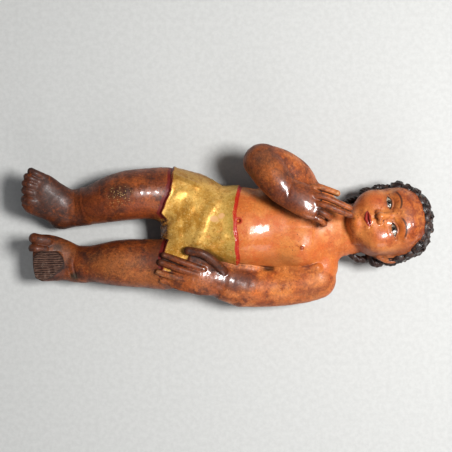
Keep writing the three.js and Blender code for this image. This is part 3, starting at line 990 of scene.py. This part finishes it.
def curl_tree(material):
    tree = bpy.data.node_groups.new("snail curls", "GeometryNodeTree")
    tree.interface.new_socket("Seats", in_out="INPUT", socket_type="NodeSocketGeometry")
    socket(tree, "Turns", "NodeSocketFloat", 1.75)
    socket(tree, "Strand", "NodeSocketFloat", 0.33)
    socket(tree, "Rise", "NodeSocketFloat", 0.36)
    socket(tree, "Steps", "NodeSocketInt", 20)
    socket(tree, "Seed", "NodeSocketInt", 7)
    tree.interface.new_socket("Curls", in_out="OUTPUT", socket_type="NodeSocketGeometry")
    nodes, links = tree.nodes, tree.links
    given = nodes.new("NodeGroupInput")
    result = nodes.new("NodeGroupOutput")

    spiral = nodes.new("GeometryNodeCurveSpiral")
    links.new(given.outputs["Steps"], spiral.inputs["Resolution"])
    links.new(given.outputs["Turns"], spiral.inputs["Rotations"])
    spiral.inputs["Start Radius"].default_value = 0.62
    spiral.inputs["End Radius"].default_value = 0.12
    links.new(given.outputs["Rise"], spiral.inputs["Height"])

    along = nodes.new("GeometryNodeSplineParameter")
    swell = nodes.new("ShaderNodeFloatCurve")
    curve = swell.mapping.curves[0]
    curve.points[0].location = (0, 0.35)
    curve.points[1].location = (1, 0.75)
    curve.points.new(0.25, 0.95)
    curve.points.new(0.7, 1.0)
    swell.mapping.update()
    links.new(along.outputs["Factor"], swell.inputs["Value"])
    width = nodes.new("ShaderNodeMath")
    width.operation = "MULTIPLY"
    links.new(swell.outputs[0], width.inputs[0])
    links.new(given.outputs["Strand"], width.inputs[1])
    thick = nodes.new("GeometryNodeSetCurveRadius")
    links.new(spiral.outputs["Curve"], thick.inputs["Curve"])
    links.new(width.outputs[0], thick.inputs["Radius"])
    ring = nodes.new("GeometryNodeCurveStar")
    ring.inputs["Points"].default_value = 5
    ring.inputs["Inner Radius"].default_value = 0.76
    ring.inputs["Outer Radius"].default_value = 1.0
    strand = nodes.new("GeometryNodeCurveToMesh")
    links.new(thick.outputs["Curve"], strand.inputs["Curve"])
    links.new(ring.outputs["Curve"], strand.inputs["Profile Curve"])
    strand.inputs["Fill Caps"].default_value = True

    way = nodes.new("GeometryNodeInputNamedAttribute")
    way.data_type = "FLOAT_VECTOR"
    way.inputs["Name"].default_value = "way"
    size = nodes.new("GeometryNodeInputNamedAttribute")
    size.data_type = "FLOAT"
    size.inputs["Name"].default_value = "size"
    turn = nodes.new("GeometryNodeInputNamedAttribute")
    turn.data_type = "FLOAT"
    turn.inputs["Name"].default_value = "turn"
    upright = nodes.new("FunctionNodeAlignRotationToVector")
    upright.axis = "Z"
    links.new(way.outputs["Attribute"], upright.inputs["Vector"])
    spin = nodes.new("FunctionNodeAxisAngleToRotation")
    spin.inputs["Axis"].default_value = (0, 0, 1)
    links.new(turn.outputs["Attribute"], spin.inputs["Angle"])
    turned = nodes.new("FunctionNodeRotateRotation")
    turned.rotation_space = "LOCAL"
    links.new(upright.outputs[0], turned.inputs["Rotation"])
    links.new(spin.outputs[0], turned.inputs["Rotate By"])
    chance = nodes.new("FunctionNodeRandomValue")
    chance.data_type = "FLOAT"
    chance.inputs[2].default_value = 0.8
    chance.inputs[3].default_value = 1.05
    links.new(given.outputs["Seed"], chance.inputs["Seed"])
    sized = nodes.new("ShaderNodeMath")
    sized.operation = "MULTIPLY"
    links.new(size.outputs["Attribute"], sized.inputs[0])
    links.new(chance.outputs[1], sized.inputs[1])
    stand = nodes.new("GeometryNodeInstanceOnPoints")
    links.new(given.outputs["Seats"], stand.inputs["Points"])
    links.new(strand.outputs["Mesh"], stand.inputs["Instance"])
    links.new(turned.outputs[0], stand.inputs["Rotation"])
    links.new(sized.outputs[0], stand.inputs["Scale"])
    real = nodes.new("GeometryNodeRealizeInstances")
    links.new(stand.outputs["Instances"], real.inputs["Geometry"])
    smooth = nodes.new("GeometryNodeSetShadeSmooth")
    links.new(real.outputs["Geometry"], smooth.inputs["Geometry"])
    dress = nodes.new("GeometryNodeSetMaterial")
    dress.inputs["Material"].default_value = material
    links.new(smooth.outputs["Geometry"], dress.inputs["Geometry"])
    links.new(dress.outputs["Geometry"], result.inputs["Curls"])
    return tree


# Paint, gold and wear


def paint(r, g, b):
    """A colour as it looks on a screen, 0 to 255, for a material."""
    return tuple(
        (v / 255 / 12.92 if v / 255 <= 0.04045 else ((v / 255 + 0.055) / 1.055) ** 2.4) for v in (r, g, b)
    ) + (1.0,)


class Brush:
    """A material's node tree, with short ways to add nodes to it."""

    def __init__(self, name):
        self.material = bpy.data.materials.new(name)
        self.material.use_nodes = True
        self.nodes = self.material.node_tree.nodes
        self.links = self.material.node_tree.links
        self.shader = self.nodes["Principled BSDF"]
        self.place = self.nodes.new("ShaderNodeTexCoord").outputs["Object"]

    def plug(self, value, entry):
        if isinstance(value, bpy.types.NodeSocket):
            self.links.new(value, entry)
        else:
            entry.default_value = value

    def math(self, kind, a, b=0.0, c=0.0):
        node = self.nodes.new("ShaderNodeMath")
        node.operation = kind
        for value, entry in zip((a, b, c), node.inputs):
            self.plug(value, entry)
        return node.outputs[0]

    def spread(self, value, start, end, low=0.0, high=1.0):
        node = self.nodes.new("ShaderNodeMapRange")
        node.interpolation_type = "SMOOTHSTEP"
        for v, entry in zip((value, start, end, low, high), node.inputs):
            self.plug(v, entry)
        return node.outputs[0]

    def mix(self, share, a, b, kind="MIX"):
        node = self.nodes.new("ShaderNodeMix")
        node.data_type = "RGBA"
        node.blend_type = kind
        self.plug(share, node.inputs[0])
        self.plug(a, node.inputs[6])
        self.plug(b, node.inputs[7])
        return node.outputs[2]

    def blend(self, share, a, b):
        node = self.nodes.new("ShaderNodeMix")
        self.plug(share, node.inputs[0])
        self.plug(a, node.inputs[2])
        self.plug(b, node.inputs[3])
        return node.outputs[0]

    def stretched(self, scale, turn=(0, 0, 0)):
        node = self.nodes.new("ShaderNodeMapping")
        node.inputs["Scale"].default_value = scale
        node.inputs["Rotation"].default_value = turn
        self.links.new(self.place, node.inputs["Vector"])
        return node.outputs[0]

    def noise(self, scale, detail=4.0, rough=0.55, place=None, warp=0.0):
        node = self.nodes.new("ShaderNodeTexNoise")
        node.inputs["Scale"].default_value = scale
        node.inputs["Detail"].default_value = detail
        node.inputs["Roughness"].default_value = rough
        node.inputs["Distortion"].default_value = warp
        self.links.new(place or self.place, node.inputs["Vector"])
        return node.outputs["Fac"]

    def flecks(self, scale, place=None):
        node = self.nodes.new("ShaderNodeTexVoronoi")
        node.inputs["Scale"].default_value = scale
        self.links.new(place or self.place, node.inputs["Vector"])
        return node.outputs["Distance"]

    def layer(self, name):
        node = self.nodes.new("ShaderNodeAttribute")
        node.attribute_name = name
        return node

    def split(self, vector):
        node = self.nodes.new("ShaderNodeSeparateXYZ")
        self.links.new(vector, node.inputs[0])
        return node.outputs

    def bump(self, height, depth, strength=1.0, below=None):
        node = self.nodes.new("ShaderNodeBump")
        node.inputs["Strength"].default_value = strength
        node.inputs["Distance"].default_value = depth
        self.plug(height, node.inputs["Height"])
        if below is not None:
            self.links.new(below, node.inputs["Normal"])
        return node.outputs[0]

    def oval(self, x, y, middle, size):
        """1 in the middle of an oval, 0 on its outline, below 0 outside."""
        dx = self.math("DIVIDE", self.math("SUBTRACT", x, middle[0]), size[0])
        dy = self.math("DIVIDE", self.math("SUBTRACT", y, middle[1]), size[1])
        square = self.math("ADD", self.math("MULTIPLY", dx, dx), self.math("MULTIPLY", dy, dy))
        return self.math("SUBTRACT", 1.0, self.math("SQRT", square))


# Stains and rubs on the upper side: middle, size, colour, strength
STAINS = [
    ((9, -41), (15, 8.5), (78, 36, 22), 0.75),
    ((52, 21), (15, 9), (84, 38, 26), 0.6),
    ((28, 51), (9, 7), (104, 66, 46), 0.6),
    ((33, 40), (9, 8), (176, 96, 42), 0.5),
    ((-20, -42), (7, 6), (170, 92, 40), 0.6),
    ((-84, -30), (20, 9), (168, 98, 48), 0.55),
    ((-62, -40), (16, 6), (176, 100, 46), 0.5),
    ((-52, -22), (7, 10), (86, 44, 26), 0.7),
    ((-100, 17), (14, 8), (132, 58, 20), 0.5),
    ((-66, 12), (12, 7), (150, 66, 22), 0.5),
    ((-80, 26), (9, 6), (60, 34, 24), 0.8),
    ((-140, 24), (9, 9), (50, 26, 16), 0.6),
    ((-126, -20), (9, 8), (122, 66, 24), 0.6),
    ((-130, -17), (3, 3), (40, 28, 16), 0.7),
    ((-118, -39), (3, 2.6), (40, 36, 22), 0.9),
    ((40, -27), (14, 5), (170, 100, 48), 0.5),
    ((66, -50), (9, 5), (140, 72, 34), 0.5),
]


def painted_wood():
    b = Brush("painted and gilt wood")
    tone = b.layer("tone").outputs["Fac"]
    wear = b.layer("wear").outputs["Fac"]
    gap_shade_and_dirt = b.layer("gap_shade_and_dirt").outputs["Fac"]
    overhang_shade = b.layer("overhang_shade").outputs["Fac"]
    ridge = b.layer("ridge").outputs["Fac"]
    cloth = b.layer("cloth").outputs["Fac"]
    hairy = b.layer("hair").outputs["Fac"]
    bare = b.layer("bare").outputs["Fac"]
    fibre = b.layer("grain").outputs["Fac"]
    left = b.layer("varnish").outputs["Fac"]
    opening = b.layer("eye").outputs["Fac"]
    lips = b.layer("lips").outputs["Fac"]
    face = b.split(b.layer("face").outputs["Vector"])
    at = b.split(b.layer("carved").outputs["Vector"])

    broad = b.noise(40, 4, 0.6)
    patchy = b.noise(110, 6, 0.65)
    mottle = b.noise(260, 7, 0.75, warp=0.3)
    fine = b.noise(620, 5, 0.8)
    dirt_and_shade_noise = b.noise(170, 7, 0.7, warp=0.4)

    def patch(middle, size, soft=0.35):
        """1 inside a ragged spot on the upper side, 0 outside."""
        spot = b.oval(at[0], at[1], middle, size)
        ragged = b.math("MULTIPLY_ADD", b.math("SUBTRACT", mottle, 0.5), 2.2, spot)
        return b.math("MULTIPLY", b.spread(ragged, -soft, soft), b.spread(at[2], 17, 22))

    def grained(colour, low, high):
        """The colour made unevenly darker and lighter, as old paint is."""
        return b.mix(1.0, colour, b.spread(fine, 0.3, 0.7, low, high), "MULTIPLY")

    # Flesh: honey orange on the trunk, red brown on the limbs, darkest on the feet
    light = b.mix(b.spread(broad, 0.4, 0.6), paint(200, 104, 42), paint(214, 128, 62))
    light = b.mix(b.spread(patchy, 0.5, 0.62, 0, 0.55), light, paint(196, 88, 32))
    light = b.mix(b.spread(mottle, 0.54, 0.66, 0, 0.4), light, paint(226, 152, 84))
    middle = b.mix(b.spread(broad, 0.4, 0.6), paint(124, 56, 22), paint(156, 78, 32))
    middle = b.mix(b.spread(patchy, 0.5, 0.62, 0, 0.7), middle, paint(88, 40, 22))
    middle = b.mix(b.spread(mottle, 0.53, 0.62, 0, 0.7), middle, paint(190, 104, 44))
    dark = b.mix(b.spread(broad, 0.4, 0.6), paint(62, 27, 12), paint(86, 40, 15))
    dark = b.mix(b.spread(patchy, 0.5, 0.62, 0, 0.7), dark, paint(42, 21, 14))
    dark = b.mix(b.spread(mottle, 0.53, 0.62, 0, 0.6), dark, paint(134, 64, 22))
    depth = b.math("MULTIPLY_ADD", b.math("SUBTRACT", patchy, 0.5), 0.9, tone)
    depth = b.math("MULTIPLY_ADD", b.math("SUBTRACT", mottle, 0.5), 0.8, depth)
    flesh = b.mix(b.spread(depth, 0.08, 0.6), light, middle)
    flesh = b.mix(b.spread(depth, 0.5, 1.15), flesh, dark)

    # The face is redder on the cheeks and browner towards the hair
    on_face = b.spread(face[2], 6, 13)
    side = b.math("ABSOLUTE", face[1])
    cheek = b.oval(face[0], side, (-9.5, 14), (11, 9))
    blush = b.math("MULTIPLY", b.spread(cheek, -0.2, 0.9, 0, 0.6), on_face)
    flesh = b.mix(blush, flesh, paint(168, 56, 26))
    brown = b.math("MULTIPLY", b.spread(face[2], 20, 7), b.spread(face[0], -30, -20))
    flesh = b.mix(b.math("MULTIPLY", brown, 0.6), flesh, paint(112, 52, 26))
    high = b.math("MULTIPLY", b.spread(face[0], 5, 15), on_face)
    high = b.math("MULTIPLY", high, b.spread(mottle, 0.42, 0.58, 0.2, 0.85))
    flesh = b.mix(high, flesh, paint(128, 52, 26))
    for middle_at, size, colour, strength in STAINS:
        stain = b.math("MULTIPLY", patch(middle_at, size, 0.55), strength)
        flesh = b.mix(stain, flesh, paint(*colour))
    limbs = b.spread(tone, 0.1, 0.6)
    flesh = b.mix(limbs, grained(flesh, 0.86, 1.14), grained(flesh, 0.6, 1.42))

    # Specks, pits and worn spots
    specks = b.spread(b.flecks(430), 0.2, 0.1)
    some = b.spread(b.math("MULTIPLY_ADD", tone, 0.12, b.noise(70, 3)), 0.52, 0.64)
    flesh = b.mix(b.math("MULTIPLY", b.math("MULTIPLY", specks, some), 0.85), flesh, paint(40, 20, 11))
    pits = b.spread(b.noise(1150, 3, 0.6), 0.63, 0.7)
    flesh = b.mix(b.math("MULTIPLY", pits, 0.6), flesh, paint(70, 34, 17))
    pale = b.spread(b.noise(900, 3, 0.7), 0.58, 0.66)
    rub = b.math("MULTIPLY", pale, b.spread(b.math("MULTIPLY_ADD", patchy, 0.8, ridge), 0.5, 0.9))
    flesh = b.mix(b.math("MULTIPLY", rub, 0.6), flesh, paint(222, 156, 92))
    dots = b.math("MULTIPLY", b.spread(b.flecks(900), 0.34, 0.24), b.spread(b.noise(380, 3), 0.46, 0.56))
    dots = b.math("MULTIPLY", dots, patch((-81, 23), (9, 7), 0.5))
    flesh = b.mix(b.math("MULTIPLY", dots, 0.9), flesh, paint(222, 178, 112))
    thin = b.spread(b.math("MULTIPLY_ADD", b.math("SUBTRACT", mottle, 0.5), 1.4, wear), 0.35, 0.75)
    thin = b.math("MULTIPLY", thin, b.spread(ridge, -0.1, 0.35))
    flesh = b.mix(thin, flesh, b.mix(b.spread(fine, 0.4, 0.6), paint(150, 98, 60), paint(218, 172, 122)))

    # Eyes, brows and lips
    in_eye = b.spread(opening, -0.08, 0.16)
    lash = b.math("MULTIPLY", b.spread(opening, -0.85, -0.25), b.spread(face[0], -1.2, 0.8, 0.45, 1.0))
    flesh = b.mix(b.math("MULTIPLY", lash, 0.85), flesh, paint(58, 28, 18))
    soft = b.math("MULTIPLY", b.spread(opening, -3.6, -0.6, 0, 0.5), b.spread(face[0], -2, 2, 0.5, 1))
    flesh = b.mix(b.math("MULTIPLY", soft, on_face), flesh, paint(104, 52, 34))
    iris = b.oval(face[0], side, (0.7, 10.3), (2.25, 2.25))
    pupil = b.oval(face[0], side, (0.7, 10.3), (1.05, 1.05))
    ball = b.mix(b.spread(mottle, 0.4, 0.7), paint(176, 164, 146), paint(146, 124, 104))
    ring = b.mix(b.spread(iris, 0.3, 0.05), paint(74, 60, 46), paint(22, 18, 18))
    ball = b.mix(b.spread(iris, -0.06, 0.06), ball, ring)
    ball = b.mix(b.spread(pupil, -0.1, 0.1), ball, paint(9, 8, 8))
    flesh = b.mix(in_eye, flesh, ball)
    turn = b.math("DIVIDE", b.math("SUBTRACT", side, 10.8), 8.4)
    arch = b.math("SUBTRACT", 9.6, b.math("MULTIPLY", b.math("MULTIPLY", turn, turn), 3.0))
    gap = b.math("ABSOLUTE", b.math("SUBTRACT", face[0], arch))
    brow = b.spread(b.math("ABSOLUTE", turn), 1.0, 0.7)
    brow = b.math("MULTIPLY", b.spread(gap, 1.25, 0.3, 0, 0.85), brow)
    flesh = b.mix(b.math("MULTIPLY", brow, on_face), flesh, paint(48, 25, 18))
    red = b.mix(b.spread(patchy, 0.4, 0.65), paint(140, 26, 22), paint(174, 46, 38))
    flesh = b.mix(b.spread(lips, -0.1, 0.35, 0, 0.95), flesh, red)

    # Painted shade, with dirt and old varnish: the paint is darker in hollows, narrow gaps and under
    # overhangs such as the chin
    unevenness = b.math("SUBTRACT", dirt_and_shade_noise, 0.5)
    shade_and_dirt_in_gaps = b.spread(b.math("MULTIPLY_ADD", unevenness, 0.5, gap_shade_and_dirt), 0.34, 1.0)
    # painted shade beneath overhangs
    under = b.spread(b.math("MULTIPLY_ADD", unevenness, 0.3, overhang_shade), 0.3, 0.95)
    painted_shade_and_dirt = b.math("MAXIMUM", shade_and_dirt_in_gaps, under)
    flesh = b.mix(b.math("MULTIPLY", painted_shade_and_dirt, 0.85), flesh, paint(44, 21, 10))

    # Gold leaf over red clay, worn through in places
    leaf = b.mix(b.spread(b.noise(70, 5, 0.65), 0.4, 0.6), paint(204, 142, 50), paint(236, 184, 92))
    leaf = b.mix(b.spread(mottle, 0.52, 0.62, 0, 0.65), leaf, paint(168, 112, 34))
    leaf = b.mix(b.spread(fine, 0.54, 0.64, 0, 0.7), leaf, paint(250, 214, 132))
    leaf = b.mix(b.spread(fine, 0.46, 0.36, 0, 0.6), leaf, paint(140, 94, 30))
    near_edge = b.spread(at[0], -4, 4)
    green = b.math("MULTIPLY", near_edge, b.spread(b.noise(60, 4), 0.4, 0.6, 0.25, 1.0))
    leaf = b.mix(b.math("MULTIPLY", green, 0.5), leaf, paint(150, 136, 48))
    clay = b.spread(b.math("MULTIPLY_ADD", ridge, 0.1, b.noise(240, 8, 0.72, warp=0.5)), 0.58, 0.64)
    low = b.spread(at[1], 10, -4)
    clay = b.math("MULTIPLY", clay, b.math("MULTIPLY_ADD", low, 0.45, 0.25))
    leaf = b.mix(clay, leaf, paint(222, 140, 66))
    brown_side = b.spread(at[1], 27, 38, 0, 0.5)
    leaf = b.mix(brown_side, leaf, paint(116, 74, 26))
    gesso = b.math("MAXIMUM", patch((-8.6, 5.2), (3.4, 2.6), 0.25), patch((-3.9, 7.4), (2.6, 2.4), 0.25))
    leaf = b.mix(gesso, leaf, paint(224, 170, 112))
    # Painted shade and dirt darken the gold in hollows and under overhangs
    leaf = b.mix(b.math("MULTIPLY", painted_shade_and_dirt, 0.8), leaf, paint(64, 36, 14))
    lost = b.math("MAXIMUM", b.math("MAXIMUM", clay, gesso), painted_shade_and_dirt)
    metal = b.math("MULTIPLY", b.math("SUBTRACT", 1.0, lost), 0.38)

    # Red lines along its edges, broader on the thighs, and rough strokes between the legs
    wobble = b.math("MULTIPLY_ADD", b.math("SUBTRACT", b.noise(190, 5, 0.65), 0.5), 2.2, cloth)
    gilt = b.spread(b.math("MULTIPLY_ADD", b.math("SUBTRACT", mottle, 0.5), 0.5, cloth), -0.2, 0.2)
    at_hem = b.spread(at[0], -20, -30)
    outer = b.spread(b.math("MULTIPLY_ADD", at_hem, 1.4, wobble), -2.0, -1.4)
    line = b.math("MULTIPLY", outer, b.spread(wobble, 1.7, 1.1))
    chipped = b.spread(b.noise(330, 6, 0.7), 0.34, 0.46, 0.35, 1.0)
    line = b.math("MULTIPLY", line, chipped)
    band = b.mix(at_hem, paint(176, 34, 10), paint(104, 20, 15))
    colour = b.mix(gilt, flesh, leaf)
    metal = b.math("MULTIPLY", gilt, metal)
    colour = b.mix(line, colour, band)
    between = b.math("MULTIPLY", b.spread(at[1], 6.5, 4.5), b.spread(at[1], -11.5, -9.5))
    between = b.math("MULTIPLY", between, b.spread(at[0], -43, -46))
    between = b.math("MULTIPLY", between, b.spread(at[0], -64, -60))
    strokes = b.spread(b.noise(330, 4, 0.7, place=b.stretched((1, 2.4, 1), (0, 0, 0.7))), 0.42, 0.58)
    colour = b.mix(between, colour, b.mix(strokes, paint(92, 46, 16), paint(204, 140, 62)))
    metal = b.math("MULTIPLY", metal, b.math("SUBTRACT", 1.0, b.math("MAXIMUM", line, between)))

    # A painted ring round the navel and round each nipple
    navel = b.oval(at[0], at[1], (9.2, 4.0), (3.2, 2.9))
    ring = b.math("MULTIPLY", b.spread(navel, -0.15, 0.1), b.spread(navel, 0.85, 0.45))
    ring = b.math("MULTIPLY", ring, b.spread(at[2], 38, 42))
    colour = b.mix(b.math("MULTIPLY", ring, 0.85), colour, paint(176, 44, 20))
    chest = b.math("MULTIPLY", b.spread(at[2], 38, 42), b.spread(at[2], 51, 49))
    for middle_at in ((57.5, -16.5), (57.5, 14.5)):
        nipple = b.oval(at[0], at[1], middle_at, (2.3, 2.3))
        nipple = b.math("MULTIPLY", b.spread(nipple, 0.0, 0.5, 0, 0.75), chest)
        colour = b.mix(nipple, colour, paint(140, 50, 26))

    # Hair
    tress = b.mix(b.spread(patchy, 0.4, 0.6), paint(24, 13, 11), paint(50, 28, 21))
    tress = b.mix(b.spread(mottle, 0.56, 0.66, 0, 0.5), tress, paint(112, 70, 38))
    in_hair = b.spread(b.math("MULTIPLY_ADD", b.math("SUBTRACT", mottle, 0.5), 2.0, hairy), -0.3, 0.3)
    colour = b.mix(in_hair, colour, tress)

    # The broken foot shows bare wood with its fibres
    fibres = b.noise(900, 5, 0.7, place=b.stretched((0.3, 1, 1)))
    fibres = b.math("MULTIPLY_ADD", b.math("SUBTRACT", fibres, 0.5), 0.9, fibre)
    wood = b.mix(b.spread(fibres, -0.25, 0.3), paint(52, 28, 21), paint(158, 116, 96))
    wood = b.mix(b.spread(b.noise(420, 5, 0.7), 0.54, 0.66, 0, 0.6), wood, paint(206, 176, 156))
    split = b.spread(bare, -0.1, 0.15)
    rim = b.math("MULTIPLY", b.spread(bare, -0.9, -0.3), b.spread(bare, 0.5, 0.2))
    wood = b.mix(b.spread(bare, 0.9, 0.1, 0, 0.8), wood, paint(40, 22, 15))
    colour = b.mix(b.math("MULTIPLY", rim, 0.85), colour, paint(30, 16, 11))
    colour = b.mix(split, colour, wood)

    dull = b.spread(patchy, 0.35, 0.65, 0.42, 0.6)
    rough = b.blend(left, dull, b.spread(fine, 0.35, 0.65, 0.24, 0.4))
    rough = b.blend(painted_shade_and_dirt, rough, 0.7)
    rough = b.blend(gilt, rough, b.spread(mottle, 0.35, 0.65, 0.32, 0.52))
    rough = b.blend(in_hair, rough, 0.4)
    rough = b.blend(in_eye, rough, 0.15)
    rough = b.blend(split, rough, 0.85)
    b.plug(colour, b.shader.inputs["Base Color"])
    b.plug(metal, b.shader.inputs["Metallic"])
    b.plug(rough, b.shader.inputs["Roughness"])
    b.shader.inputs["Specular IOR Level"].default_value = 0.4
    coat = b.math("MULTIPLY", b.spread(left, 0.1, 0.7, 0.05, 0.75), b.spread(patchy, 0.72, 0.5, 0.5, 1.0))
    coat = b.blend(b.math("MAXIMUM", painted_shade_and_dirt, split), coat, 0.0)
    b.plug(coat, b.shader.inputs["Coat Weight"])
    b.shader.inputs["Coat Roughness"].default_value = 0.12
    skin = b.bump(b.math("MULTIPLY_ADD", pits, -0.6, fine), 0.00018, 0.6)
    dents = b.bump(b.math("MULTIPLY_ADD", clay, -0.4, b.noise(190, 5, 0.6)), 0.0004, 0.4, skin)
    torn = b.bump(b.math("MULTIPLY", fibres, split), 0.0006, 0.8, dents)
    b.plug(torn, b.shader.inputs["Normal"])
    return b.material


def painted_hair():
    b = Brush("dark painted hair")
    patchy = b.noise(130, 6, 0.65)
    colour = b.mix(b.spread(patchy, 0.4, 0.6), paint(24, 14, 12), paint(58, 33, 25))
    worn = b.spread(b.noise(240, 6, 0.7), 0.6, 0.68, 0, 0.8)
    colour = b.mix(worn, colour, paint(150, 100, 54))
    b.plug(colour, b.shader.inputs["Base Color"])
    b.plug(b.spread(patchy, 0.35, 0.65, 0.24, 0.6), b.shader.inputs["Roughness"])
    b.shader.inputs["Coat Weight"].default_value = 0.15
    b.shader.inputs["Coat Roughness"].default_value = 0.2
    strands = b.noise(600, 5, 0.7)
    b.plug(b.bump(strands, 0.0006, 0.7), b.shader.inputs["Normal"])
    return b.material


finish = painted_wood()
hair_paint = painted_hair()
carving_mesh.materials.clear()
carving_mesh.materials.append(finish)
carving_mesh.transform(Matrix.Translation(Vector(-CENTRE * MM)))

seats, ways, sizes, turns = curl_seats()
seat_mesh = bpy.data.meshes.new("curl_seats")
seat_mesh.from_pydata([tuple(v) for v in (seats - CENTRE) * MM], [], [])
store(seat_mesh, "way", ways)
store(seat_mesh, "size", sizes * MM)
store(seat_mesh, "turn", turns)
curls = add("hair_curls", seat_mesh)
grown = curls.modifiers.new("curls", "NODES")
grown.node_group = curl_tree(hair_paint)
inputs = [item for item in grown.node_group.interface.items_tree if item.in_out == "INPUT"]
by_name = {item.name: item.identifier for item in inputs}
for name, value in (("Turns", 1.75), ("Strand", 0.33), ("Rise", 0.36), ("Steps", 22), ("Seed", 7)):
    grown[by_name[name]] = value
finished_mesh(curls, "hair_curls")

for piece in (carving, curls):
    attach(piece, "root")
    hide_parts("carved_figure")


# Floor and light


def pale_table():
    b = Brush("pale table")
    mottled = b.mix(b.spread(b.noise(260, 8, 0.7), 0.35, 0.65), paint(200, 200, 197), paint(208, 208, 205))
    b.plug(mottled, b.shader.inputs["Base Color"])
    b.shader.inputs["Roughness"].default_value = 0.7
    return b.material


floor_mesh = bpy.data.meshes.new("table")
floor_mesh.from_pydata([(-3, -3, 0), (3, -3, 0), (3, 3, 0), (-3, 3, 0)], [], [(0, 1, 2, 3)])
floor_mesh.materials.append(pale_table())
add("table", floor_mesh)


def soft_light(name, at, size, power, colour=(1, 1, 1)):
    light = bpy.data.lights.new(name, "AREA")
    light.shape = "SQUARE"
    light.size = size
    light.energy = power
    light.color = colour
    thing = add(name, light)
    thing.location = at
    aim = -np.array(at)
    flat = math.hypot(aim[0], aim[1])
    thing.rotation_euler = (math.atan2(flat, -aim[2]), 0, math.atan2(aim[1], aim[0]) - math.pi / 2)
    return thing


soft_light("key light", (0.50, 0.06, 0.93), 0.27, 13)
soft_light("fill light", (0.5, -1.7, 1.0), 1.1, 9)
world = bpy.data.worlds.new("room")
bpy.context.scene.world = world
world.use_nodes = True
world.node_tree.nodes["Background"].inputs["Color"].default_value = (0.9, 0.93, 1.0, 1)
world.node_tree.nodes["Background"].inputs["Strength"].default_value = 0.14

bpy.context.view_layer.update()
